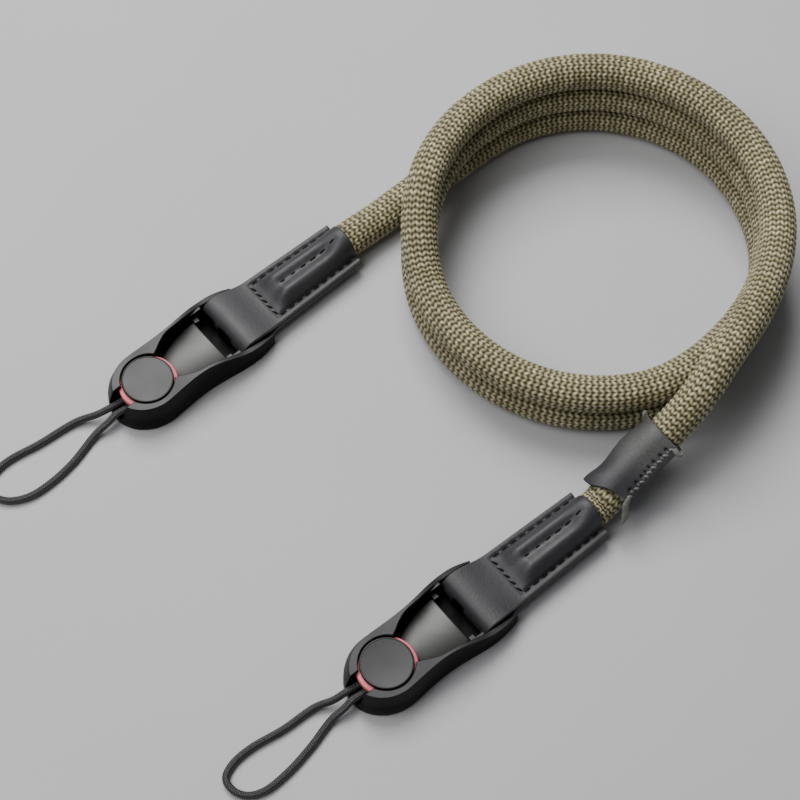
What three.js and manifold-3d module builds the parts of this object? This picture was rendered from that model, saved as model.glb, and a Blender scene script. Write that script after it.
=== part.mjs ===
// A camera neck strap lying on a table: a round braided rope in a coil of stacked turns, a sewn
// leather tab on each of its ends, and on each tab a quick-release connector that holds an anchor
// with a thin cord loop. A leather keeper is wrapped round the rope beside one tab.
// Millimetres, +Z up. The table is the plane z = 0, and the origin is the middle of the ground
// that the two connectors and their tabs cover.

import * as THREE from 'three';
import { mergeVertices } from 'three/addons/utils/BufferGeometryUtils.js';
import Module from 'manifold-3d';

const wasm = await Module();
wasm.setup();

// Clearances
const GAP = 0.3; // between pieces that touch
const PRESS_GAP = 0.45; // between the pressed rope end and the leather round it
const PRESSED_THIN = 0.15; // the least half thickness of the pressed rope
const TURN_GAP = 0.1; // between one turn of the coil and the next

// Rope
const ROPE_DIAMETER = 10.4;
const ROPE_SIDES = 12;
const ROPE_STEPS = 86;
const END_STEPS = 13; // short steps at each end, inside the tab and the keeper
const END_STEP = 4;
const STEPS_IN_TAB = 5;
const COIL_RADIUS = 49.5;
const COIL_CENTRE = { x: 67.1, y: 62.2 };
const COIL_START = -30; // degrees round the coil, counterclockwise from +X
const COIL_END = 840;
const COIL_STEP = 15;

// Leather
const LEATHER = 1.4;
const TAB_END = 70.3; // from the middle of the anchor to the rope's end of the tab
const TAB_STITCH = 41; // to the row of stitches across the tab
const TAB_HALF_WIDTH = 8.4; // at the row of stitches across
const TAB_END_HALF_WIDTH = 7.7; // at the rope's end
const TAB_FLANGE = 2; // of flat leather outside the rows of stitches along the two sides
const TAB_REST = 0.3; // the underside of the sewn box above the table
const SEAM_LEVEL = 4.35; // the middle of the two sewn layers
const RIDGE_HEIGHT = 3.5; // the sewn box above the flat flanges
const BOX_RISE = 6.5; // how far the box takes to rise past the row across
const MOUTH_HEIGHT = 5.8; // above the flanges where the rope comes out
const MOUTH_LENGTH = 4.5; // of the round mouth at the rope's end
const MOUTH_LIP = 1; // the part of the mouth that keeps its full height
const VALLEY = 0.65; // how high the middle row of stitches lies, as a share of the ridges
const NECK_WIDENING = 0.1; // of the tab at the bar, as a share of its width at the row across
const KEEPER_LENGTH = 21.5;
const KEEPER_THICKNESS = 1;
const KEEPER_FROM_TAB = 8.3; // bare rope between the tab and the keeper
const KEEPER_SEAM = 1.4; // how far the sewn edges stand out
const KEEPER_EAR = 2.2; // how much further the corners flare
const KEEPER_SIDES = 20;
const SEAM_ANGLE = 34; // degrees, up from level on the right side
const BACK_SIDE = 7; // of the sides, counted up from the seam: the one with the back ears
const NEIGHBOUR = 0.2; // how far the points beside the seam stand out, as a share of it
const BACK_EAR = 0.7; // the ears on the left side, as a share of the others

// Connector housing
const FLOOR = 1.6;
const NOSE_REACH = 10.2; // from the middle of the anchor to the tip of the top face
const NOSE_BASE_REACH = 12;
const NOSE_TIP_HEIGHT = 0.86; // as a share of the height
const NOSE_STEPS = 8;
const EAR_HALF_WIDTH = 11.4;
const HOUSING_END = 36.5;
const HOUSING_HEIGHT = 10.4;
const SLOT_HALF_WIDTH = 3.1;
const BAR_RADIUS = 1.9;
const BAR_AT = { x: 29.5, z: 4.3 };
const BAR_SIDES = 20;
const PAD_INSET = { front: 4, rear: 2, side: 2 }; // of the pad under the spring plate
const PEG_INSET = 0.6; // of the two pegs behind the plate's corners
const PEG_LENGTH = 1.4;

// Anchor, its loop and the spring plate
const CAP_RADIUS = 7.25;
const CAP_DROP = 1; // of the cap's top below the housing's highest place
const FLANGE_RADIUS = 8.3;
const FLANGE_THICKNESS = 2.2;
const FLANGE_PLAY = 0.4; // between the flange and the housing's walls
const LOOP_DIAMETER = 2.1;
const LOOP_LEVEL = 4.2; // the middle of the cord where it passes through the nose
const LOOP_SIDES = 8;
const LOOP_STEPS = 44;
const PLATE_THICKNESS = 0.8;
const PLATE_START = 7.5;
const PLATE_END = 21.7;
const PLATE_HALF_WIDTH = 7.6;
const PLATE_TILT = 2.5; // degrees, rising towards the bar

// Worked out from the values above
const ROPE_RADIUS = ROPE_DIAMETER / 2;
const LAYER = ROPE_DIAMETER + TURN_GAP;
const LOOP_RADIUS = LOOP_DIAMETER / 2;
const FLANGE_BOTTOM = LOOP_LEVEL + LOOP_RADIUS + GAP;
const FLANGE_TOP = FLANGE_BOTTOM + FLANGE_THICKNESS;
const SLOT_FLOOR = LOOP_LEVEL - LOOP_RADIUS - GAP;
const PLATE_LEVEL = FLANGE_BOTTOM - 2 * GAP - PLATE_THICKNESS;
const WRAP_INNER = BAR_RADIUS + GAP;
const WRAP_OUTER = WRAP_INNER + LEATHER;
const BAR_HALF_WIDTH = TAB_HALF_WIDTH * (1 + NECK_WIDENING); // of the tab at the bar
const BODY_HALF_WIDTH = FLANGE_RADIUS + FLANGE_PLAY; // of the space under the rim
const ROOF_LEVEL = FLANGE_TOP + GAP; // the underside of the rim
const CAP_TOP = HOUSING_HEIGHT - CAP_DROP;
const REAR_OPENING = BAR_AT.x - WRAP_OUTER - GAP;
const ABOVE = 1.5 * HOUSING_HEIGHT; // past the top of every piece
const TURNED_SIDES = 36; // of the cap, the flange and the bores for them

// The two connectors lie on the table, turned so that their tabs meet the rope.
const CONNECTORS = [
  { name: 'near', x: 8.85, y: -62.1, turn: 39.4 },
  { name: 'far', x: -57.05, y: 21.2, turn: 40.6 },
];

// The coil's turns: layer 0 lies on the table, and layers count up from it.
const TURNS = [
  { angle: -40, radius: 1.016, layer: 2 },
  { angle: -10, radius: 1, layer: 2 },
  { angle: 158, radius: 1, layer: 2 },
  { angle: 204, radius: 1, layer: 1 },
  { angle: 280, radius: 0.99, layer: 1 },
  { angle: 318, radius: 0.955, layer: 1 },
  { angle: 362, radius: 0.995, layer: 1 },
  { angle: 514, radius: 1, layer: 1 },
  { angle: 558, radius: 1, layer: 0 },
  { angle: 640, radius: 0.99, layer: 0 },
  { angle: 678, radius: 0.955, layer: 0 },
  { angle: 722, radius: 0.995, layer: 0 },
  { angle: 840, radius: 1, layer: 0 },
];

// The rope's free stretches, chosen by hand: from the near tab up onto the coil, and from under
// the coil to the far tab.
const CLIMB = [
  [68.9, -12.4, 8.4],
  [75.3, -5.2, 10.4],
  [80.1, -1.2, 13.2],
  [85.1, 2.6, 16.4],
  [90.1, 7.2, 19.8],
  [94.3, 12.0, 22.8],
  [98.5, 18.1, 25.0],
];
const LEAVE = [
  [23.9, 90.6, 5.2],
  [13.7, 81.8, 5.2],
  [6.3, 75.2, 5.4],
];

// The loops' free stretches, chosen by hand, from the leg on the left round to the other leg.
const LOOPS = {
  near: [
    [-5.0, -69.8, 2.7],
    [-9.8, -71.3, 1.4],
    [-18.0, -77.3, 1.1],
    [-26.4, -82.5, 1.1],
    [-30.9, -86.8, 1.1],
    [-32.4, -90.6, 1.1],
    [-30.2, -93.9, 1.1],
    [-26.6, -95.1, 1.1],
    [-22.4, -93.9, 1.1],
    [-16.6, -89.0, 1.1],
    [-10.7, -82.0, 1.1],
    [-5.6, -74.9, 1.5],
    [-2.0, -72.1, 3.1],
  ],
  far: [
    [-71.0, 13.7, 2.7],
    [-77.0, 12.0, 1.4],
    [-87.1, 5.1, 1.1],
    [-94.1, 0.8, 1.1],
    [-97.6, -2.5, 1.1],
    [-99.6, -6.4, 1.1],
    [-98.5, -10.2, 1.1],
    [-94.2, -11.9, 1.1],
    [-88.5, -10.7, 1.1],
    [-83.0, -6.7, 1.1],
    [-77.2, -0.4, 1.1],
    [-71.4, 8.1, 1.5],
    [-67.9, 10.9, 3.1],
  ],
};

// Materials
const ropeBraid = new THREE.MeshStandardMaterial({ color: 0x8f8a5c, roughness: 0.9, metalness: 0 });
const leather = new THREE.MeshStandardMaterial({ color: 0x232326, roughness: 0.6, metalness: 0 });
const plastic = new THREE.MeshStandardMaterial({ color: 0x18181a, roughness: 0.45, metalness: 0 });
const steel = new THREE.MeshStandardMaterial({ color: 0xa8a9ab, roughness: 0.3, metalness: 1 });
const redPlastic = new THREE.MeshStandardMaterial({ color: 0xc8324a, roughness: 0.5, metalness: 0 });
const cordBraid = new THREE.MeshStandardMaterial({ color: 0x1b1b1c, roughness: 0.85, metalness: 0 });

const strap = new THREE.Group();

function addPiece(parent, name, geometry, material) {
  const mesh = new THREE.Mesh(geometry, material);
  mesh.name = name;
  parent.add(mesh);
}

function radians(degrees) {
  return (degrees * Math.PI) / 180;
}

// 0 before from, 1 after to, and a smooth step between them.
function smooth(value, from, to) {
  const t = Math.min(1, Math.max(0, (value - from) / (to - from)));
  return t * t * (3 - 2 * t);
}

// A value read from a table's column, with a smooth step from row to row.
function readTable(rows, key, column, value) {
  let next = rows.findIndex((row) => row[key] > value);
  if (next === -1) next = rows.length - 1;
  next = Math.max(1, next);
  const a = rows[next - 1];
  const b = rows[next];
  return a[column] + (b[column] - a[column]) * smooth(value, a[key], b[key]);
}

// Where a point of a connector's own frame lies on the table.
function onTable(connector, x, y, z) {
  const a = radians(connector.turn);
  return new THREE.Vector3(
    connector.x + x * Math.cos(a) - y * Math.sin(a),
    connector.y + x * Math.sin(a) + y * Math.cos(a),
    z,
  );
}

// The same the other way round.
function inConnector(connector, point) {
  const a = radians(connector.turn);
  const dx = point.x - connector.x;
  const dy = point.y - connector.y;
  return new THREE.Vector3(
    dx * Math.cos(a) + dy * Math.sin(a),
    dy * Math.cos(a) - dx * Math.sin(a),
    point.z,
  );
}

// Solids for cutting and joining
function toSolid(geometry) {
  const bare = geometry.clone();
  bare.deleteAttribute('normal');
  bare.deleteAttribute('uv');
  const merged = mergeVertices(bare, 1e-4);
  const vertProperties = new Float32Array(merged.attributes.position.array);
  const triVerts = new Uint32Array(merged.index.array);
  return new wasm.Manifold(new wasm.Mesh({ numProp: 3, vertProperties, triVerts }));
}

function toGeometry(solid) {
  const mesh = solid.getMesh();
  const geometry = new THREE.BufferGeometry();
  geometry.setAttribute('position', new THREE.BufferAttribute(mesh.vertProperties, 3));
  geometry.setIndex(new THREE.BufferAttribute(mesh.triVerts, 1));
  return geometry;
}

// An upright prism over an outline of [x, y] points.
function prism(outline, bottom, top) {
  const shape = new THREE.Shape(outline.map(([x, y]) => new THREE.Vector2(x, y)));
  const geometry = new THREE.ExtrudeGeometry(shape, { depth: top - bottom, bevelEnabled: false });
  return geometry.translate(0, 0, bottom);
}

function circleOutline(radius, sides) {
  return Array.from({ length: sides }, (_, i) => {
    const a = (2 * Math.PI * i) / sides;
    return [radius * Math.cos(a), radius * Math.sin(a)];
  });
}

function rectangle(fromX, toX, halfWidth) {
  return [[fromX, -halfWidth], [toX, -halfWidth], [toX, halfWidth], [fromX, halfWidth]];
}

// An outline that is the same on both sides of the x axis, from its left half.
function mirrored(half) {
  const right = half.filter(([, y]) => y > 0).map(([x, y]) => [x, -y]).reverse();
  return [...half, ...right];
}

// A closed body from rings with the same number of points, and an end face on the first and last
// ring. Faces are given as lists of corner indices in one ring.
function bodyFromRings(rings, endFaces) {
  const count = rings[0].length;
  const index = [];
  for (let r = 0; r < rings.length - 1; r += 1) {
    for (let i = 0; i < count; i += 1) {
      const a = r * count + i;
      const b = r * count + ((i + 1) % count);
      index.push(a, b, b + count, a, b + count, a + count);
    }
  }
  const last = (rings.length - 1) * count;
  for (const [a, b, c] of endFaces) {
    index.push(c, b, a, last + a, last + b, last + c);
  }
  const geometry = new THREE.BufferGeometry();
  const positions = rings.flat(2);
  geometry.setAttribute('position', new THREE.Float32BufferAttribute(positions, 3));
  geometry.setIndex(index);
  return geometry;
}

// Housing: outline and height from the disc to the ears
const HOUSING_ROWS = [
  { along: 0, top: 0.8, base: 0.93, height: 0.9 },
  { along: 0.137, top: 0.78, base: 0.9, height: 0.95 },
  { along: 0.274, top: 0.765, base: 0.87, height: 0.99 },
  { along: 0.389, top: 0.78, base: 0.87, height: 1 },
  { along: 0.496, top: 0.83, base: 0.9, height: 0.95 },
  { along: 0.603, top: 0.9, base: 0.94, height: 0.85 },
  { along: 0.712, top: 0.955, base: 0.98, height: 0.72 },
  { along: 0.822, top: 0.965, base: 0.985, height: 0.64 },
  { along: 0.918, top: 0.925, base: 0.945, height: 0.56 },
  { along: 1, top: 0.867, base: 0.885, height: 0.47 },
];

// The housing's left half as a list of points, from the tip of the nose to the ear: grow makes
// the outline go from the top face's (0) to the base's (1), and lift is a share of the height.
function housingHalf(grow, lift) {
  const first = HOUSING_ROWS[0];
  const reach = NOSE_REACH + (NOSE_BASE_REACH - NOSE_REACH) * grow;
  const side = (first.top + (first.base - first.top) * grow) * EAR_HALF_WIDTH;
  const points = [];
  for (let i = 0; i < NOSE_STEPS; i += 1) {
    const a = (Math.PI / 2) * (i / NOSE_STEPS);
    const height = NOSE_TIP_HEIGHT + (first.height - NOSE_TIP_HEIGHT) * Math.sin(a);
    points.push([-reach * Math.cos(a), side * Math.sin(a), height * HOUSING_HEIGHT * lift]);
  }
  for (const row of HOUSING_ROWS) {
    const half = (row.top + (row.base - row.top) * grow) * EAR_HALF_WIDTH;
    points.push([row.along * HOUSING_END, half, row.height * HOUSING_HEIGHT * lift]);
  }
  return points;
}

function housingOuter() {
  const levels = [
    { grow: 0.8, lift: 0 },
    { grow: 1, lift: 0.06 },
    { grow: 0.92, lift: 0.5 },
    { grow: 0.5, lift: 0.86 },
    { grow: 0, lift: 1 },
  ];
  const rings = levels.map(({ grow, lift }) => {
    const half = housingHalf(grow, lift);
    const right = half.slice(1).map(([x, y, z]) => [x, -y, z]).reverse();
    return [...right, ...half];
  });
  const n = rings[0].length;
  const tip = (n - 1) / 2;
  const faces = [];
  for (let i = 0; i < tip; i += 1) {
    const right = tip - i;
    const left = tip + i;
    if (i === 0) faces.push([right - 1, left, left + 1]);
    else faces.push([right, left, left + 1], [right, left + 1, right - 1]);
  }
  const body = bodyFromRings(rings.map((ring) => [...ring].reverse()), faces);
  return toSolid(body);
}

// The window over the spring plate, as shares of the housing's length and half width.
const WINDOW_ROWS = [
  { along: 0.126, half: 0.36 },
  { along: 0.195, half: 0.46 },
  { along: 0.263, half: 0.58 },
  { along: 0.34, half: 0.675 },
  { along: 0.467, half: 0.72 },
  { along: 0.603, half: 0.79 },
  { along: 0.71, half: 0.835 },
];

function housing() {
  const leatherSide = BAR_HALF_WIDTH + GAP;
  const arc = circleOutline(BODY_HALF_WIDTH, TURNED_SIDES).filter(([x]) => x < 1e-6);
  const space = [...arc, [REAR_OPENING, -BODY_HALF_WIDTH], [REAR_OPENING, BODY_HALF_WIDTH]];
  const windowHalf = WINDOW_ROWS.map((r) => [r.along * HOUSING_END, r.half * EAR_HALF_WIDTH]);
  const bore = circleOutline(CAP_RADIUS + GAP, TURNED_SIDES);
  const inRoof = ROOF_LEVEL - GAP;
  let body = housingOuter();
  const cuts = [
    prism(space, FLOOR, ROOF_LEVEL),
    prism(bore, inRoof, ABOVE),
    prism(mirrored(windowHalf), inRoof, ABOVE),
    prism(rectangle(REAR_OPENING, 2 * HOUSING_END, leatherSide), -FLOOR, ABOVE),
    prism(rectangle(-2 * NOSE_REACH, 0, SLOT_HALF_WIDTH), SLOT_FLOOR, ABOVE),
  ];
  for (const cut of cuts) body = body.subtract(toSolid(cut));
  const barLength = leatherSide + EAR_HALF_WIDTH;
  const bar = new THREE.CylinderGeometry(BAR_RADIUS, BAR_RADIUS, barLength, BAR_SIDES);
  bar.translate(BAR_AT.x, 0, BAR_AT.z);
  body = body.add(toSolid(bar));
  const padFront = PLATE_START + PAD_INSET.front;
  const padHalf = PLATE_HALF_WIDTH - PAD_INSET.side;
  const padOutline = rectangle(padFront, PLATE_END - PAD_INSET.rear, padHalf);
  body = body.add(toSolid(prism(padOutline, FLOOR / 2, plateUnderside(padFront) - GAP)));
  for (const side of [-1, 1]) body = body.add(toSolid(peg(side)));
  return toGeometry(body);
}

// A peg behind one corner of the spring plate, joined to the side wall.
function peg(side) {
  const front = PLATE_END + GAP;
  const inner = PLATE_HALF_WIDTH - PEG_INSET;
  const outer = BODY_HALF_WIDTH + PEG_INSET;
  const rear = front + PEG_LENGTH;
  const outline = [[front, inner], [rear, inner], [rear, outer], [front, outer]];
  return prism(outline.map(([x, y]) => [x, side * y]), FLOOR / 2, FLANGE_BOTTOM);
}

// Spring plate: a thin steel leaf that narrows under the anchor
function plateUnderside(x) {
  return PLATE_LEVEL + (x - PLATE_START) * Math.tan(radians(PLATE_TILT));
}

function springPlate() {
  const length = PLATE_END - PLATE_START;
  const half = [
    [PLATE_START, PLATE_HALF_WIDTH * 0.58],
    [PLATE_START + length * 0.25, PLATE_HALF_WIDTH * 0.75],
    [PLATE_START + length * 0.55, PLATE_HALF_WIDTH * 0.91],
    [PLATE_START + length * 0.85, PLATE_HALF_WIDTH * 0.99],
    [PLATE_END, PLATE_HALF_WIDTH],
  ];
  const geometry = prism(mirrored(half), 0, PLATE_THICKNESS);
  const position = geometry.attributes.position;
  for (let i = 0; i < position.count; i += 1) {
    position.setZ(i, position.getZ(i) + plateUnderside(position.getX(i)));
  }
  return geometry;
}

// Anchor: a dished cap over a wider flange, both turned round the upright axis
function turned(profile) {
  const points = profile.map(([r, z]) => new THREE.Vector2(r, z));
  return new THREE.LatheGeometry(points, TURNED_SIDES).rotateX(Math.PI / 2);
}

function anchorCap() {
  const bottom = FLANGE_TOP + GAP;
  const round = 0.5;
  return turned([
    [0, bottom],
    [CAP_RADIUS, bottom],
    [CAP_RADIUS, CAP_TOP - round],
    [CAP_RADIUS - round, CAP_TOP],
    [0, CAP_TOP - round * 0.4],
  ]);
}

function anchorFlange() {
  const round = 0.3;
  return turned([
    [0, FLANGE_BOTTOM],
    [FLANGE_RADIUS, FLANGE_BOTTOM],
    [FLANGE_RADIUS, FLANGE_TOP - round],
    [FLANGE_RADIUS - round, FLANGE_TOP],
    [0, FLANGE_TOP],
  ]);
}

// A tube along a path
function tube(path, radius, sides, steps) {
  const shape = new THREE.Shape(circleOutline(radius, sides).map(([x, y]) => new THREE.Vector2(x, y)));
  return new THREE.ExtrudeGeometry(shape, { steps, extrudePath: path, bevelEnabled: false });
}

// Loop: both legs start under the flange and leave through the slot in the nose
function loopPath(connector) {
  const start = -FLANGE_RADIUS * 0.6;
  const edge = -FLANGE_RADIUS - LOOP_RADIUS;
  return new THREE.CatmullRomCurve3(
    [
      onTable(connector, start, 1.3, LOOP_LEVEL),
      onTable(connector, edge, 1.7, LOOP_LEVEL),
      onTable(connector, -NOSE_BASE_REACH, 2, LOOP_LEVEL),
      ...LOOPS[connector.name].map(([x, y, z]) => new THREE.Vector3(x, y, z)),
      onTable(connector, -NOSE_BASE_REACH, -0.7, LOOP_LEVEL),
      onTable(connector, edge, -1, LOOP_LEVEL),
      onTable(connector, start, -1.3, LOOP_LEVEL),
    ],
    false,
    'centripetal',
  );
}

// Tab: one strip folded round the bar, its two layers sewn together over the rope's end.
// The upper layer's top and the lower layer's underside, over x along the tab and y across it.
function tabTop(x, y) {
  const u = Math.min(1, Math.abs(y) / (tabHalfWidth(x) - TAB_FLANGE));
  const ridges = (1 - u ** 4) * (1 - ((1 - VALLEY) * (1 + Math.cos(2 * Math.PI * u))) / 2);
  const dome = Math.sqrt(1 - u * u) * (1 - u ** 8);
  const mouth = smooth(x, TAB_END - MOUTH_LENGTH, TAB_END - MOUTH_LIP);
  const rise = smooth(x, TAB_STITCH, TAB_STITCH + BOX_RISE);
  const box = RIDGE_HEIGHT * rise * ridges * (1 - mouth) + MOUTH_HEIGHT * dome * mouth;
  return SEAM_LEVEL + GAP / 2 + LEATHER + box;
}

function tabUnderside(x, y) {
  const u = Math.min(1, Math.abs(y) / (tabHalfWidth(x) - TAB_FLANGE));
  const flange = SEAM_LEVEL - GAP / 2 - LEATHER;
  const sink = smooth(x, TAB_STITCH, TAB_STITCH + BOX_RISE) * (1 - u ** 4);
  return flange + (TAB_REST - flange) * sink;
}

function tabHalfWidth(x) {
  const sewn = Math.max(0, x - TAB_STITCH) / (TAB_END - TAB_STITCH);
  const widening = NECK_WIDENING * (1 - smooth(x, BAR_AT.x, TAB_STITCH));
  return TAB_HALF_WIDTH * (1 + widening) + (TAB_END_HALF_WIDTH - TAB_HALF_WIDTH) * sewn;
}

// The strip's stations from the rope's end of the lower layer, round the bar, and back on the
// upper layer. Each gives its x, and the outer and inner point for any y.
function tabStations() {
  const boxStations = [0, 0.035, 0.1, 0.16, 0.3, 0.45, 0.6, 0.72, 0.82, 0.9, 1];
  const along = boxStations.map((s) => TAB_END + (TAB_STITCH - TAB_END) * s);
  const neck = [0.8, 0.6, 0.4, 0.2].map((s) => BAR_AT.x + (TAB_STITCH - BAR_AT.x) * s);
  const lower = along.map((x) => ({
    x,
    outer: (y) => [x, tabUnderside(x, y)],
    inner: (y) => [x, tabUnderside(x, y) + LEATHER],
  }));
  const neckStation = (x, side) => {
    const t = smooth(x, BAR_AT.x, TAB_STITCH);
    const atBar = BAR_AT.z + side * WRAP_OUTER;
    const atStitch = SEAM_LEVEL + side * (GAP / 2 + LEATHER);
    const outer = atBar + (atStitch - atBar) * t;
    return { x, outer: () => [x, outer], inner: () => [x, outer - side * LEATHER] };
  };
  const wrap = [];
  const wrapSteps = 10;
  for (let i = 0; i <= wrapSteps; i += 1) {
    const a = -Math.PI / 2 - (Math.PI * i) / wrapSteps;
    const at = (r) => [BAR_AT.x + r * Math.cos(a), BAR_AT.z + r * Math.sin(a)];
    wrap.push({ x: BAR_AT.x, outer: () => at(WRAP_OUTER), inner: () => at(WRAP_INNER) });
  }
  const upper = along.map((x) => ({
    x,
    outer: (y) => [x, tabTop(x, y)],
    inner: (y) => [x, tabTop(x, y) - LEATHER],
  }));
  return [
    ...lower,
    ...neck.map((x) => neckStation(x, -1)),
    ...wrap,
    ...[...neck].reverse().map((x) => neckStation(x, 1)),
    ...upper.reverse(),
  ];
}

function leatherTab() {
  const across = [-1, -0.8, -0.68, -0.56, -0.38, -0.19, 0, 0.19, 0.38, 0.56, 0.68, 0.8, 1];
  const rings = tabStations().map((station) => {
    const half = tabHalfWidth(station.x);
    const point = (t, layer) => {
      const y = t * half;
      const [x, z] = layer(y);
      return [x, y, z];
    };
    const outer = across.map((t) => point(t, station.outer));
    const inner = across.map((t) => point(t, station.inner)).reverse();
    return [...outer, ...inner].reverse();
  });
  const count = rings[0].length;
  const faces = [];
  for (let i = 0; i < across.length - 1; i += 1) {
    const a = i;
    const b = i + 1;
    const c = count - 2 - i;
    const d = count - 1 - i;
    faces.push([a, b, c], [a, c, d]);
  }
  return bodyFromRings(rings, faces);
}

// Rope: its path, with short steps near both ends
class RopePath extends THREE.CatmullRomCurve3 {
  getUtoTmapping(u, distance) {
    if (distance !== undefined) return super.getUtoTmapping(u, distance);
    const length = this.getLength();
    const end = END_STEPS * END_STEP;
    const step = u * ROPE_STEPS;
    const middle = ROPE_STEPS - 2 * END_STEPS;
    let at = end + ((step - END_STEPS) / middle) * (length - 2 * end);
    if (step < END_STEPS) at = step * END_STEP;
    if (step > ROPE_STEPS - END_STEPS) at = length - (ROPE_STEPS - step) * END_STEP;
    return super.getUtoTmapping(at / length);
  }
}

function coilPoint(angle) {
  const radius = COIL_RADIUS * readTable(TURNS, 'angle', 'radius', angle);
  const z = ROPE_RADIUS + LAYER * readTable(TURNS, 'angle', 'layer', angle);
  const a = radians(angle);
  return new THREE.Vector3(
    COIL_CENTRE.x + radius * Math.cos(a),
    COIL_CENTRE.y + radius * Math.sin(a),
    z,
  );
}

// The rope's middle inside a tab, from its hidden end out past the leather, level all the way.
function ropeInTab(connector) {
  const level = (tabTop(TAB_END, 0) + tabUnderside(TAB_END, 0)) / 2;
  const hidden = TAB_END - GAP - STEPS_IN_TAB * END_STEP;
  const stations = [hidden, (hidden + TAB_END) / 2, TAB_END + ROPE_RADIUS / 2];
  return stations.map((x) => onTable(connector, x, 0, level));
}

function ropePath() {
  const vector = ([x, y, z]) => new THREE.Vector3(x, y, z);
  const coil = [];
  for (let angle = COIL_START; angle <= COIL_END; angle += COIL_STEP) coil.push(coilPoint(angle));
  const points = [
    ...ropeInTab(CONNECTORS[0]),
    ...CLIMB.map(vector),
    ...coil,
    ...LEAVE.map(vector),
    ...ropeInTab(CONNECTORS[1]).reverse(),
  ];
  const path = new RopePath(points, false, 'centripetal');
  path.arcLengthDivisions = 40 * points.length;
  return path;
}

// The room for the rope between the tab's layers, at its tightest within a facet of a place.
function pocket(x, y) {
  const facet = (ROPE_RADIUS * Math.PI) / ROPE_SIDES;
  const places = [y - facet, y, y + facet];
  return {
    bottom: Math.max(...places.map((p) => tabUnderside(x, p))) + LEATHER + PRESS_GAP,
    top: Math.min(...places.map((p) => tabTop(x, p))) - LEATHER - PRESS_GAP,
  };
}

// The rope's ends are squeezed between the layers of the tabs.
function rope(path) {
  const geometry = tube(path, ROPE_RADIUS, ROPE_SIDES, ROPE_STEPS);
  const position = geometry.attributes.position;
  for (let i = 0; i < position.count; i += 1) {
    const point = new THREE.Vector3().fromBufferAttribute(position, i);
    for (const connector of CONNECTORS) {
      const { x, y, z } = inConnector(connector, point);
      const inside = x < TAB_END + GAP && x > TAB_STITCH && Math.abs(y) < TAB_HALF_WIDTH;
      if (inside) {
        const { bottom, top } = pocket(Math.min(x, TAB_END), y);
        const middle = (bottom + top) / 2;
        const room = Math.max(PRESSED_THIN, (top - bottom) / 2);
        position.setZ(i, Math.min(middle + room, Math.max(middle - room, z)));
      }
    }
  }
  return geometry;
}

// Keeper: a strip wrapped round the rope and sewn edge to edge, with its corners flared
const KEEPER_ROWS = [
  { along: 0, ear: 1 },
  { along: 0.08, ear: 0.55 },
  { along: 0.16, ear: 0.1 },
  { along: 0.3, ear: 0 },
  { along: 0.5, ear: 0 },
  { along: 0.7, ear: 0 },
  { along: 0.84, ear: 0.1 },
  { along: 0.92, ear: 0.55 },
  { along: 1, ear: 1 },
];

function keeper(path) {
  const inner = ROPE_RADIUS + GAP;
  const outer = inner + KEEPER_THICKNESS;
  const length = path.getLength();
  const begin = STEPS_IN_TAB * END_STEP + GAP + KEEPER_FROM_TAB;
  const rings = KEEPER_ROWS.map(({ along, ear }) => {
    const u = (begin + along * KEEPER_LENGTH) / length;
    const t = path.getUtoTmapping(u, begin + along * KEEPER_LENGTH);
    const centre = path.getPoint(t);
    const tangent = path.getTangent(t);
    const right = new THREE.Vector3().crossVectors(tangent, new THREE.Vector3(0, 0, 1)).normalize();
    const up = new THREE.Vector3().crossVectors(right, tangent).normalize();
    const at = (angle, radius) => {
      const p = centre.clone();
      p.addScaledVector(right, radius * Math.cos(angle)).addScaledVector(up, radius * Math.sin(angle));
      return [p.x, p.y, p.z];
    };
    const outside = [];
    const inside = [];
    for (let i = 0; i < KEEPER_SIDES; i += 1) {
      const angle = radians(SEAM_ANGLE) + (2 * Math.PI * i) / KEEPER_SIDES;
      let radius = outer;
      const seam = KEEPER_SEAM + KEEPER_EAR * ear;
      if (i === 0) radius += seam;
      if (i === 1 || i === KEEPER_SIDES - 1) radius += seam * NEIGHBOUR;
      if (i === BACK_SIDE) radius += KEEPER_EAR * ear * BACK_EAR;
      outside.push(at(angle, radius));
      inside.push(at(angle, inner));
    }
    return [outside, inside];
  });
  return sleeve(rings);
}

// A sleeve from pairs of rings, outside and inside, with a flat rim at both ends.
function sleeve(rings) {
  const count = rings[0][0].length;
  const positions = rings.flatMap(([outside, inside]) => [...outside, ...inside]).flat();
  const index = [];
  const corner = (ring, side, i) => (ring * 2 + side) * count + (i % count);
  const quad = (a, b, c, d) => index.push(a, b, c, a, c, d);
  for (let i = 0; i < count; i += 1) {
    for (let r = 0; r < rings.length - 1; r += 1) {
      quad(corner(r, 0, i), corner(r + 1, 0, i), corner(r + 1, 0, i + 1), corner(r, 0, i + 1));
      quad(corner(r, 1, i + 1), corner(r + 1, 1, i + 1), corner(r + 1, 1, i), corner(r, 1, i));
    }
    const last = rings.length - 1;
    quad(corner(0, 0, i + 1), corner(0, 1, i + 1), corner(0, 1, i), corner(0, 0, i));
    quad(corner(last, 0, i), corner(last, 1, i), corner(last, 1, i + 1), corner(last, 0, i + 1));
  }
  const geometry = new THREE.BufferGeometry();
  geometry.setAttribute('position', new THREE.Float32BufferAttribute(positions, 3));
  geometry.setIndex(index);
  return geometry;
}

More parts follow.
